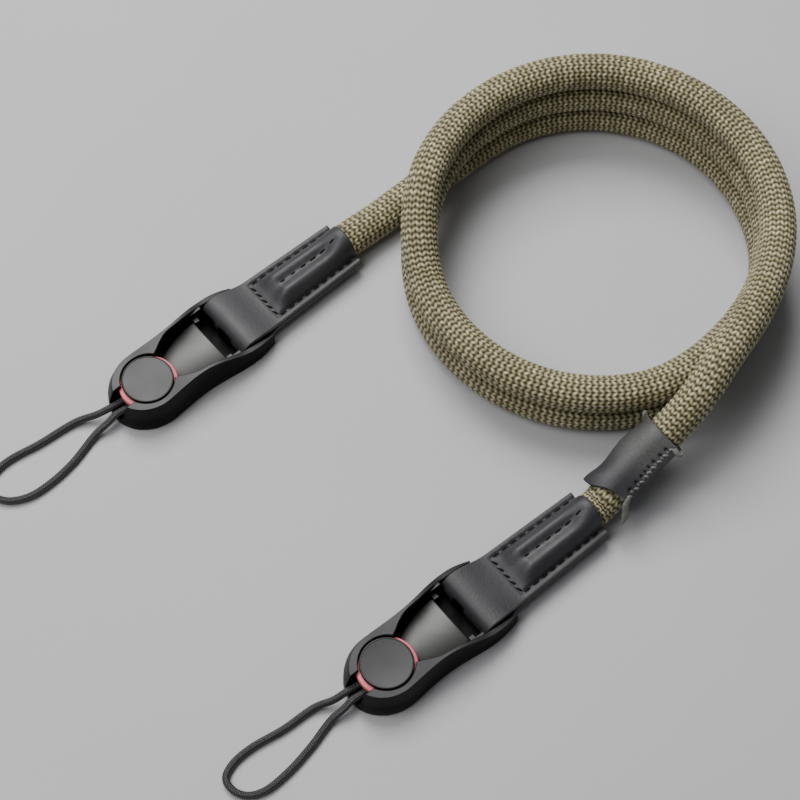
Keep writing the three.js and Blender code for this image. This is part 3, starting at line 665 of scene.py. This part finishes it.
def attribute(tree, name):
    """The number that each point of the piece has under this name."""
    node = tree.nodes.new("ShaderNodeAttribute")
    node.attribute_name = name
    return node.outputs["Fac"]


def vary(tree, shader, socket, value, low, high, between=(0.3, 0.7)):
    """Gives a shader's socket a colour or number that goes from low to high as the value goes from
    one end of between to the other."""
    tree.links.new(ramp(tree, value, list(zip(between, (low, high)))), shader.inputs[socket])


def thread_material(name, dark, light, **sockets):
    """Twisted thread: fine noise in its colour and its height."""
    material, tree, shader = new_material(name, **sockets)
    twist = noise(tree, coordinates(tree), 3500.0, 2.0)
    vary(tree, shader, "Base Color", twist, dark, light)
    tree.links.new(bump(tree, twist, 0.05), shader.inputs["Normal"])
    return material


leather, tree, shader = new_material("leather", Specular_IOR_Level=0.45)
place = coordinates(tree)
pores = tree.nodes.new("ShaderNodeTexVoronoi")
pores.feature = "SMOOTH_F1"
pores.inputs["Scale"].default_value = 1900
tree.links.new(place, pores.inputs["Vector"])
wear = noise(tree, place, 120.0, 4.0, 0.6)
grain = ramp(tree, wear, [(0.3, (0.022, 0.022, 0.024)), (0.75, (0.034, 0.034, 0.037))])
fluff = noise(tree, place, 1400.0, 3.0)
pale_fibres_and_painted_light = ramp(tree, fluff, [(0.3, (0.09, 0.09, 0.083)), (0.7, (0.16, 0.16, 0.15))])
# the pale colour on the leather's cut edges, which on the keeper's top is a painted highlight
skin = mix(tree, attribute(tree, "raw_edge_and_painted_light"), grain, pale_fibres_and_painted_light)
# painted shade: near black in the keeper's stitch holes
skin = mix(tree, attribute(tree, "hole"), skin, (0.002, 0.002, 0.002))
tree.links.new(skin, shader.inputs["Base Color"])
vary(tree, shader, "Roughness", wear, 0.44, 0.58, between=(0.25, 0.75))
creases = bump(tree, noise(tree, place, 260.0, 5.0, 0.6), 0.14, 0.5)
tree.links.new(bump(tree, pores.outputs["Distance"], 0.05, 0.6, creases), shader.inputs["Normal"])

black_thread = thread_material("black_thread", 0.003, 0.014, Roughness=0.85, Specular_IOR_Level=0.08)

for name in CONNECTORS:
    tab = leather_tab(f"{name}_tab")
    tab.data.materials.append(leather)
    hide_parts(f"{name}_leather_tab")
    middles, directions = tab_stitches(name)
    stitches = rods(f"{name}_stitches", middles, directions, [0, 0, 1.0], **STITCH_SIZE)
    stitches.data.materials.append(black_thread)


# The keeper is a leather strip wrapped round the rope beside the near tab and whip-stitched edge
# to edge along its right side. The strip's cut corners stand out from its two ends.
KEEPER_START = TAB_END - HIDDEN_END + 8.3
KEEPER_LENGTH = 21.5
KEEPER_INNER = ROPE_RADIUS + 0.1
KEEPER_THICKNESS = 1
SEAM_ANGLE = 34
SEAM_HEIGHT = 1.4  # of the seam's edge above the round part
WHIP_PITCH = 2.4
HOLE_ANGLE = 42  # of the row of stitch holes
CORNER_THICKNESS = 0.45  # half of it
WHIP_SIZE = {"half_length": 0.85, "radius": 0.36}


def bell(value, centre, width):
    """exp(-((value - centre) / width)^2), with degrees taken the short way round."""
    return np.exp(-((((value - centre + 180) % 360) - 180) / width) ** 2)


def on_keeper(along, angle, radius):
    """Points round the keeper, from a distance along it, an angle in degrees and a radius."""
    centre, right, up = rope_route.at(KEEPER_START + np.asarray(along, float))
    turn, radius = np.radians(angle)[..., None], np.asarray(radius, float)[..., None]
    return centre + radius * (np.cos(turn) * right + np.sin(turn) * up)


def drop_share(angle):
    """The section's radius as a share of the round part's: 1 / cos of the angle past the place
    where a straight side leaves the circle, rounded off at the very edge."""
    from_seam = np.abs((angle - SEAM_ANGLE + 180) % 360 - 180)
    point = 1 + SEAM_HEIGHT / (KEEPER_INNER + KEEPER_THICKNESS)
    side = np.degrees(np.arccos(1 / point))
    past = np.maximum(0, side - np.sqrt(from_seam**2 + 2.5**2))
    return 1 / np.cos(np.radians(past))


def keeper_sleeve():
    """A sleeve with the section of a drop: round, with two straight sides that meet at the seam.
    Outside it has dimples at the stitch holes, a little slack on the left and a lump at each end
    there, and its left side reaches further at the tab. The angles lie closer together near the
    seam. Its pale shares are a painted highlight on top, away from the tab, and the cut ends by
    the seam; its hole shares are painted shade in the stitch holes."""
    along = np.linspace(0, 1, 101)[:, None]
    t = np.linspace(-1, 1, 97)[None, :-1]
    angle = SEAM_ANGLE + 180 * np.sign(t) * np.abs(t) ** 1.5
    low, high = np.exp(-((along / 0.15) ** 2)), np.exp(-(((1 - along) / 0.07) ** 2))
    place = along * KEEPER_LENGTH / WHIP_PITCH
    holes = bell(angle, HOLE_ANGLE, 4.2) * np.exp(-(((place + 0.5) % 1 - 0.5) / 0.17) ** 2)
    holes = holes * smooth_step(along, 0.03, 0.06) * smooth_step(1 - along, 0.03, 0.06)
    slack = 0.8 * bell(angle, 155, 55) * np.sin(np.pi * along**1.3) ** 2
    lump = 1.5 * bell(angle, 160, 34) * low + 1.4 * bell(angle, 158, 12) * high
    dip = 0.35 * bell(angle, 80, 45) * (low + high)
    pucker = 0.12 * bell(angle, SEAM_ANGLE, 6) * np.cos(2 * np.pi * place)
    drop = drop_share(angle)
    outside = (KEEPER_INNER + KEEPER_THICKNESS) * drop + pucker + slack + lump - dip - 0.75 * holes
    inside = KEEPER_INNER * drop + 0.8 * slack
    reach = along * KEEPER_LENGTH - 2.2 * bell(angle, 150, 48) * low
    turn = np.broadcast_to(angle, outside.shape)
    rings = np.stack([on_keeper(reach, turn, outside), on_keeper(reach, turn, inside)])
    rows, count = outside.shape
    quads = grid_quads(rows, count, wrap=True)
    rim = np.stack([np.arange(count), (np.arange(count) + 1) % count], axis=-1)
    rims = [
        np.concatenate([rim + k, rim[:, ::-1] + k + rows * count], axis=1)
        for k in (0, (rows - 1) * count)
    ]
    faces = np.vstack([quads, quads[:, ::-1] + rows * count, rims[0][:, ::-1], rims[1]])
    cut = ((along == 0) | (along == 1)) * bell(angle, SEAM_ANGLE, 25)
    # painted highlight: the sleeve's top, away from the tab, is made paler where the light falls
    painted_highlight = 0.42 * smooth_step(along, 0.15, 0.6) * bell(angle, 85, 75)
    raw_edge_and_painted_light = np.stack([np.maximum(painted_highlight, cut), cut])
    return rings.reshape(-1, 3), faces, raw_edge_and_painted_light.ravel(), np.stack([holes, 0 * holes]).ravel()


def tongue(points, widths, thickness, side):
    """A closed strip along a few points: rings of twelve points on a flat superellipse, whose long
    half axis is the width there, square to the way along and turned towards side."""
    path = curve_through(points, 6)
    width = np.interp(np.linspace(0, 1, len(path)), np.linspace(0, 1, len(widths)), widths)
    width = width[:, None, None]
    ahead = unit(np.gradient(path, axis=0))
    face = unit(np.cross(ahead, side))
    across = np.cross(face, ahead)
    turn = np.linspace(0, 2 * np.pi, 12, endpoint=False)[None, :, None]
    c, s = (np.sign(f(turn)) * np.abs(f(turn)) ** 0.6 for f in (np.cos, np.sin))
    thick = np.minimum(thickness, width)
    rings = path[:, None] + c * width * across[:, None] + s * thick * face[:, None]
    quads, ends = tube_faces(*rings.shape[:2])
    if volume(rings.reshape(-1, 3), [quads, ends]) < 0:
        quads, ends = quads[:, ::-1], ends[:, ::-1]
    return rings.reshape(-1, 3), quads, ends


sleeve, sleeve_faces, raw_edge_and_painted_light, holes = keeper_sleeve()
seam_radius = (KEEPER_INNER + KEEPER_THICKNESS) * drop_share(SEAM_ANGLE)
seam_start = on_keeper(0.5, np.array(SEAM_ANGLE), seam_radius)
seam_end = on_keeper(KEEPER_LENGTH - 0.4, np.array(SEAM_ANGLE), seam_radius)
back_end = on_keeper(KEEPER_LENGTH - 0.6, np.array(158), seam_radius - 0.6)
# Each corner: where it starts, its half widths, and its path from there.
corners = [
    (seam_start, (0.5, 0.9, 0.95, 0.15),
     [(0.3, 0.6, 0.4), (-0.5, -1, -0.8), (-0.7, -3.2, -3), (-1.6, -5.2, -4.8)]),
    (seam_end, (0.7, 0.8, 0.5, 0.15),
     [(-0.2, -0.2, 0), (0.7, -1.2, -0.5), (1.5, -1.6, -0.8), (2.5, -0.9, -0.4)]),
    (back_end, (0.8, 0.8, 0.5), [(0, -0.2, -0.4), (-0.2, 0.6, 0.4), (0, 1.3, 0.9)]),
]
points, quads, ends = [sleeve], [sleeve_faces], []
for root, widths, path in corners:
    start = sum(len(group) for group in points)
    strip, strip_quads, strip_ends = tongue(root + path, widths, CORNER_THICKNESS, [1.0, 0.25, 0])
    points.append(strip)
    quads.append(strip_quads + start)
    ends.append(strip_ends + start)
points = np.vstack(points)
keeper = make_piece("keeper_sleeve", points, [np.vstack(quads), np.vstack(ends)])
extra = len(points) - len(sleeve)
mark(keeper, "raw_edge_and_painted_light", np.concatenate([raw_edge_and_painted_light, np.ones(extra)]))
mark(keeper, "hole", np.concatenate([holes, np.zeros(extra)]))
keeper.data.materials.append(leather)
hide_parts("keeper")

whips = np.arange(1.2, KEEPER_LENGTH - 0.6, WHIP_PITCH)
seam_turn = 0 * whips + SEAM_ANGLE
middle = on_keeper(whips, seam_turn, 0)
seam_side = on_keeper(whips, seam_turn - 90, 1) - middle
seam_out = on_keeper(whips, seam_turn, 1) - middle
seam_ahead = on_keeper(whips + 1, seam_turn, 0) - middle
whip_at = on_keeper(whips, seam_turn + 2, seam_radius - 0.12)
whip_stitches = rods("keeper_stitches", whip_at, seam_side + 0.9 * seam_ahead, seam_out, **WHIP_SIZE)
grey = thread_material("grey_thread", (0.11, 0.11, 0.105), (0.24, 0.24, 0.23), Roughness=0.45)
whip_stitches.data.materials.append(grey)


# The connector's housing is moulded black plastic: a low shell with bevelled sides, a round bore
# for the disc, a window over the spring plate, a slot in the nose and two ears with a bar.
GAP = 0.3
FLOOR = 1.6
NOSE_REACH = 10.2
NOSE_TIP_HEIGHT = 0.86
EAR_HALF_WIDTH = 11.4
HOUSING_END, HOUSING_HEIGHT = 36.5, 10.4
SLOT_HALF_WIDTH = 3.1
CAP_RADIUS, CAP_TOP = 7.25, HOUSING_HEIGHT - 1
BODY_HALF_WIDTH = FLANGE_RADIUS + 0.4
FLANGE_BOTTOM = LOOP_LEVEL + LOOP_RADIUS + GAP
FLANGE_TOP = FLANGE_BOTTOM + 2.2
ROOF_LEVEL = FLANGE_TOP + GAP
REAR_OPENING = BAR_X - WRAP_OUTER - GAP
PLATE_THICKNESS = 0.8
FLOOR_TONGUE = 1.4  # the floor's reach under the leather's fold
PLATE_START, PLATE_END, PLATE_HALF_WIDTH, PLATE_TILT = 7.5, 21.7, 7.6, 2.5
PLATE_LEVEL = FLANGE_BOTTOM - 2 * GAP - PLATE_THICKNESS
PEG_LENGTH, PEG_INSET = 1.4, 0.6
CHAMFER = 0.22
ABOVE = 1.5 * HOUSING_HEIGHT

# Along the housing, as shares: its place, the top's and the base's half width, and the height.
HOUSING_ROWS = np.array([
    (0, 0.8, 0.93, 0.9), (0.137, 0.78, 0.9, 0.95), (0.274, 0.765, 0.87, 0.99), (0.389, 0.78, 0.87, 1),
    (0.496, 0.83, 0.9, 0.95), (0.603, 0.9, 0.94, 0.85), (0.712, 0.955, 0.98, 0.72),
    (0.822, 0.965, 0.985, 0.64), (0.918, 0.925, 0.945, 0.56), (1, 0.867, 0.885, 0.47),
])
WINDOW_ROWS = np.array([
    (0.126, 0.36), (0.195, 0.46), (0.263, 0.58), (0.34, 0.675), (0.467, 0.72), (0.603, 0.79),
    (0.71, 0.835),
])
HOUSING_LEVELS = [  # outline, from the top face's (0) to the base's (1), and share of the height
    (0.72, 0), (0.9, 0.015), (1, 0.06), (0.97, 0.3), (0.9, 0.52), (0.8, 0.64), (0.12, 0.965),
    (0.03, 0.99), (-0.02, 1),
]


def housing_half(grow):
    """The left half of an outline with its height, from the nose's tip to the ear: a quarter
    ellipse, then a smooth curve through the rows."""
    turn = np.linspace(0, np.pi / 2, 9)[:-1]
    reach = NOSE_REACH + (NOSE_BASE_REACH - NOSE_REACH) * grow
    half = HOUSING_ROWS[:, 1] + (HOUSING_ROWS[:, 2] - HOUSING_ROWS[:, 1]) * grow
    tall = HOUSING_ROWS[:, 3] * HOUSING_HEIGHT
    tip = NOSE_TIP_HEIGHT * HOUSING_HEIGHT
    x = np.concatenate([-reach * np.cos(turn), HOUSING_ROWS[:, 0] * HOUSING_END])
    y = np.concatenate([half[0] * np.sin(turn), half]) * EAR_HALF_WIDTH
    z = np.concatenate([tip + (tall[0] - tip) * np.sin(turn), tall])
    return curve_through(np.stack([x, y, z], axis=-1), per_span=4)


def cross_strips(count, start):
    """The faces over a ring that is the same on both sides of its middle point: a triangle there,
    and a quad between each two pairs of opposite points."""
    tip = (count - 1) // 2
    i = np.arange(1, tip)
    quads = np.stack([tip - i, tip + i, tip + i + 1, tip - i - 1], axis=-1) + start
    return quads, np.array([[tip - 1, tip, tip + 1]]) + start


def housing_shell(name):
    """The closed outer form: rings of the outline, level by level, with strips across its ends."""
    halves = [housing_half(grow) * [1, 1, lift] for grow, lift in HOUSING_LEVELS]
    rings = np.array([np.vstack([(half * [1, -1, 1])[:0:-1], half]) for half in halves])
    rows, count = rings.shape[:2]
    low_quads, low_tip = cross_strips(count, 0)
    top_quads, top_tip = cross_strips(count, (rows - 1) * count)
    quads = np.vstack([grid_quads(rows, count, wrap=True), low_quads[:, ::-1], top_quads])
    tips = np.vstack([low_tip[:, ::-1], top_tip])
    return make_mesh(f"{name}_body", on_table(name, rings), [quads, tips])


def stack(name, connector, rings):
    """A closed form from rings of (x, y, z) that lie over each other, with a flat face at the ends."""
    rings = np.asarray(rings, float)
    return make_mesh(name, on_table(connector, rings), list(tube_faces(*rings.shape[:2])))


def offset(outline, distance):
    """An outline of (x, y) points that runs anticlockwise, moved out along its normals."""
    along = unit(np.roll(outline, -1, axis=0) - np.roll(outline, 1, axis=0))
    return outline + np.stack([along[:, 1], -along[:, 0]], axis=-1) * distance


def at_height(outline, height):
    return np.column_stack([outline, np.zeros(len(outline)) + height])


def prism(connector, outline, low, high):
    return stack("tool", connector, [at_height(outline, low), at_height(outline, high)])


def flared_prism(connector, outline, low):
    """A prism that leaves through the housing's top face and flares there, for a chamfer."""
    half = housing_half(0)
    top = np.interp(outline[:, 0], half[:, 0], half[:, 2])
    wide = offset(outline, 2 * CHAMFER)
    return stack("tool", connector, [
        at_height(outline, low), at_height(outline, top - CHAMFER), at_height(wide, top + CHAMFER),
        at_height(wide, ABOVE),
    ])


def circle(radius, sides=96, start=0.0, end=2 * np.pi):
    turn = np.linspace(start, end, sides, endpoint=end - start < 6)
    return np.stack([radius * np.cos(turn), radius * np.sin(turn)], axis=-1)


def rectangle(from_x, to_x, from_y, to_y):
    along = np.linspace(0, 1, 12)[:, None]
    low, high = np.array([from_x, from_y]), np.array([to_x, to_y])
    return np.vstack([
        low + along * [to_x - from_x, 0], [to_x, from_y] + along[1:] * [0, to_y - from_y],
        high - along[1:] * [to_x - from_x, 0], [from_x, to_y] - along[1:-1] * [0, to_y - from_y],
    ])


def carve(piece, tools):
    """Cuts or joins each tool, given as (operation, tool), and keeps the result as the mesh."""
    for operation, tool in tools:
        modifier = piece.modifiers.new(operation, "BOOLEAN")
        modifier.operation = operation
        modifier.solver = "MANIFOLD"
        modifier.object = tool
    mesh = bpy.data.meshes.new_from_object(piece.evaluated_get(bpy.context.evaluated_depsgraph_get()))
    piece.modifiers.clear()
    piece.data = mesh
    for _, tool in tools:
        bpy.data.objects.remove(tool)
    mesh.shade_smooth()
    mesh.set_sharp_from_angle(angle=np.radians(32))


def plate_underside(x):
    return PLATE_LEVEL + (x - PLATE_START) * np.tan(np.radians(PLATE_TILT))


def bar(connector):
    """The round bar between the ears."""
    reach = EAR_HALF_WIDTH * 0.93
    x, z = circle(BAR_RADIUS, 48).T + [[BAR_X], [BAR_LEVEL]]
    return stack("tool", connector, [np.column_stack([x, 0 * x + y, z]) for y in (-reach, reach)])


def housing(name):
    leather_side = TAB_HALF_WIDTH * (1 + NECK_WIDENING) + GAP
    space = np.vstack([
        circle(BODY_HALF_WIDTH, 49, np.pi / 2, 3 * np.pi / 2),
        [(REAR_OPENING, -BODY_HALF_WIDTH), (REAR_OPENING, BODY_HALF_WIDTH)],
    ])
    half = WINDOW_ROWS * [HOUSING_END, EAR_HALF_WIDTH]
    half = curve_through(np.column_stack([half, 0 * half[:, 0]]), 6)[:, :2]
    window = np.vstack([half * [1, -1], half[::-1]])
    pad = rectangle(PLATE_START + 4, PLATE_END - 2, -PLATE_HALF_WIDTH + 2, PLATE_HALF_WIDTH - 2)
    slot = rectangle(-2 * NOSE_REACH, 0, -SLOT_HALF_WIDTH, SLOT_HALF_WIDTH)
    slot_floor = LOOP_LEVEL - LOOP_RADIUS - GAP
    rear = rectangle(REAR_OPENING, 2 * HOUSING_END, -leather_side, leather_side)
    under_fold = rectangle(
        REAR_OPENING - 1, REAR_OPENING + FLOOR_TONGUE, -BODY_HALF_WIDTH, BODY_HALF_WIDTH,
    )
    peg_start = PLATE_END + GAP
    peg = rectangle(
        peg_start, peg_start + PEG_LENGTH, PLATE_HALF_WIDTH - PEG_INSET, BODY_HALF_WIDTH + PEG_INSET,
    )
    shell = housing_shell(name)
    carve(shell, [
        ("DIFFERENCE", prism(name, space, FLOOR, ROOF_LEVEL)),
        ("DIFFERENCE", flared_prism(name, circle(CAP_RADIUS + GAP), ROOF_LEVEL - GAP)),
        ("DIFFERENCE", flared_prism(name, window, ROOF_LEVEL - GAP)),
        ("DIFFERENCE", flared_prism(name, rear, -FLOOR)),
        ("DIFFERENCE", flared_prism(name, slot, slot_floor)),
        ("UNION", bar(name)),
        ("UNION", prism(name, under_fold, 0.05, FLOOR - 0.1)),
        ("UNION", prism(name, pad, FLOOR / 2, plate_underside(PLATE_START + 4) - GAP)),
        ("UNION", prism(name, peg, FLOOR / 2, FLANGE_BOTTOM)),
        ("UNION", prism(name, peg * [1, -1], FLOOR / 2, FLANGE_BOTTOM)),
    ])
    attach(shell, "root")
    return shell


def upward_part(tree, vector):
    node = tree.nodes.new("ShaderNodeSeparateXYZ")
    tree.links.new(vector, node.inputs[0])
    return node.outputs["Z"]


# The plastic is painted lighter and given a stronger reflection where it faces up and lies above the
# table, and darker with a weak reflection on its sides and low down: painted shade, set by which way a
# face points and how high it is.
plastic, tree, shader = new_material("black_plastic")
place = coordinates(tree)
spark = noise(tree, place, 1500.0, 3.0, 0.6)
haze = noise(tree, place, 90.0, 3.0)
normal = tree.nodes.new("ShaderNodeNewGeometry").outputs["Normal"]
high = math(tree, "MULTIPLY_ADD", upward_part(tree, place), 500.0, -1.3, clamp=True)
upward = math(tree, "MULTIPLY_ADD", upward_part(tree, normal), 1.4, -0.2, clamp=True)
painted_top_light = math(tree, "MULTIPLY", high, upward)
# painted light: upward faces get the lighter black and the strong reflection; sides and parts near the
# table get the darker black as painted shade
black = mix(tree, painted_top_light, (0.0035, 0.0035, 0.0037), (0.012, 0.012, 0.013))
tree.links.new(black, shader.inputs["Base Color"])
tree.links.new(math(tree, "MULTIPLY_ADD", painted_top_light, 0.38, 0.05), shader.inputs["Specular IOR Level"])
vary(tree, shader, "Roughness", haze, 0.40, 0.47)
tree.links.new(bump(tree, spark, 0.012, 0.5), shader.inputs["Normal"])

for name in CONNECTORS:
    shell = housing(name)
    shell.data.materials.clear()
    shell.data.materials.append(plastic)
    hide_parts(f"{name}_housing")


# Each anchor is a black cap with a slightly dished top over a red flange, both turned. A thin
# steel spring plate narrows under it.
def turned(name, connector, profile):
    """A turned form from (radius, height) pairs, from the bottom's middle to the top's middle."""
    return stack(name, connector, [at_height(circle(radius), height) for radius, height in profile])


dish = np.linspace(0.93, 0.04, 12)
CAP_BOTTOM = FLANGE_TOP + GAP
cap_profile = [
    (0.4, CAP_BOTTOM), (CAP_RADIUS - 0.15, CAP_BOTTOM), (CAP_RADIUS, CAP_BOTTOM + 0.15),
    (CAP_RADIUS, CAP_TOP - 0.35), (CAP_RADIUS - 0.08, CAP_TOP - 0.12), (CAP_RADIUS - 0.25, CAP_TOP),
    (CAP_RADIUS - 0.4, CAP_TOP),
    *[(CAP_RADIUS * share, CAP_TOP - 0.12 - 0.28 * (1 - share**2)) for share in dish],
]
flange_profile = [
    (0.4, FLANGE_BOTTOM), (FLANGE_RADIUS - 0.3, FLANGE_BOTTOM),
    (FLANGE_RADIUS - 0.05, FLANGE_BOTTOM + 0.25), (FLANGE_RADIUS, FLANGE_BOTTOM + 0.6),
    (FLANGE_RADIUS, FLANGE_TOP - 0.5), (FLANGE_RADIUS - 0.1, FLANGE_TOP - 0.15),
    (FLANGE_RADIUS - 0.35, FLANGE_TOP), (0.4, FLANGE_TOP),
]

# The plate's half outline as shares of its length and half width.
PLATE_ROWS = np.array([(0, 0.58), (0.25, 0.75), (0.55, 0.91), (0.85, 0.99), (1, 1)])


def spring_plate(name, connector):
    """A flat leaf with rounded edges: its outline at four heights, tilted up towards the bar."""
    half = PLATE_ROWS * [PLATE_END - PLATE_START, PLATE_HALF_WIDTH] + [PLATE_START, 0]
    half = curve_through(np.column_stack([half, 0 * half[:, 0]]), 8)[:, :2]
    outline = np.vstack([half * [1, -1], half[::-1]])
    rings = []
    for inset, rise in [(0.2, 0), (0, 0.2), (0, PLATE_THICKNESS - 0.2), (0.2, PLATE_THICKNESS)]:
        ring = offset(outline, -inset)
        rings.append(at_height(ring, plate_underside(ring[:, 0]) + rise))
    return stack(name, connector, rings)


steel, tree, shader = new_material("brushed_steel", Metallic=1.0)
place = tree.nodes.new("ShaderNodeMapping")
place.inputs["Scale"].default_value = (150, 900, 150)
tree.links.new(coordinates(tree), place.inputs["Vector"])
brush = noise(tree, place.outputs[0], 1.0, 4.0, 0.6)
vary(tree, shader, "Base Color", brush, (0.098, 0.099, 0.094), (0.112, 0.113, 0.108))
vary(tree, shader, "Roughness", brush, 0.52, 0.56)
tree.links.new(bump(tree, brush, 0.004), shader.inputs["Normal"])

red_plastic, tree, shader = new_material("red_plastic", Roughness=0.42)
haze = noise(tree, coordinates(tree), 400.0, 3.0)
vary(tree, shader, "Base Color", haze, (0.84, 0.16, 0.19), (0.90, 0.20, 0.23))
tree.links.new(bump(tree, haze, 0.01), shader.inputs["Normal"])

for name in CONNECTORS:
    parts = [
        (turned(f"{name}_cap", name, cap_profile), plastic, "anchor_cap", "black_plastic"),
        (turned(f"{name}_flange", name, flange_profile), red_plastic, "anchor_flange", "red_plastic"),
        (spring_plate(f"{name}_plate", name), steel, "spring_plate", "steel"),
    ]
    for piece, coat, node, slot in parts:
        piece.data.set_sharp_from_angle(angle=np.radians(50))
        piece.data.materials.append(coat)
        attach(piece, "root")
        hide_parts(f"{name}_{node}")


# The floor is a plain pale sheet under plain soft lights: a broad one over the far side, which
# the black tops mirror as grey, and a weaker one over the near left.
FLOOR_REACH = 2500
square = np.array([(-1, -1, 0), (1, -1, 0), (1, 1, 0), (-1, 1, 0)]) * FLOOR_REACH
floor = make_piece("floor", square, np.array([[0, 1, 2, 3]]))
material, tree, shader = new_material("floor", Roughness=0.7)
grain = noise(tree, coordinates(tree), 8.0, 3.0)
vary(tree, shader, "Base Color", grain, (0.45, 0.45, 0.46), (0.47, 0.47, 0.48))
floor.data.materials.append(material)


def soft_light(name, place, aim, size, power):
    """A square area light at place, turned towards aim, both in metres."""
    data = bpy.data.lights.new(name, "AREA")
    data.size = size
    data.energy = power
    light = bpy.data.objects.new(name, data)
    light.location = place
    light.rotation_euler = (Vector(aim) - Vector(place)).to_track_quat("-Z", "Y").to_euler()
    bpy.context.scene.collection.objects.link(light)


soft_light("far_softbox", (-0.17, 0.60, 0.9), (-0.02, 0.0, 0.0), 0.6, 14)
soft_light("left_softbox", (-0.50, -0.12, 0.92), (0.05, 0.0, 0.0), 0.7, 7)
world = bpy.data.worlds.new("studio")
world.use_nodes = True
world.node_tree.nodes["Background"].inputs["Color"].default_value = (0.8, 0.82, 0.85, 1)
world.node_tree.nodes["Background"].inputs["Strength"].default_value = 0.16
bpy.context.scene.world = world
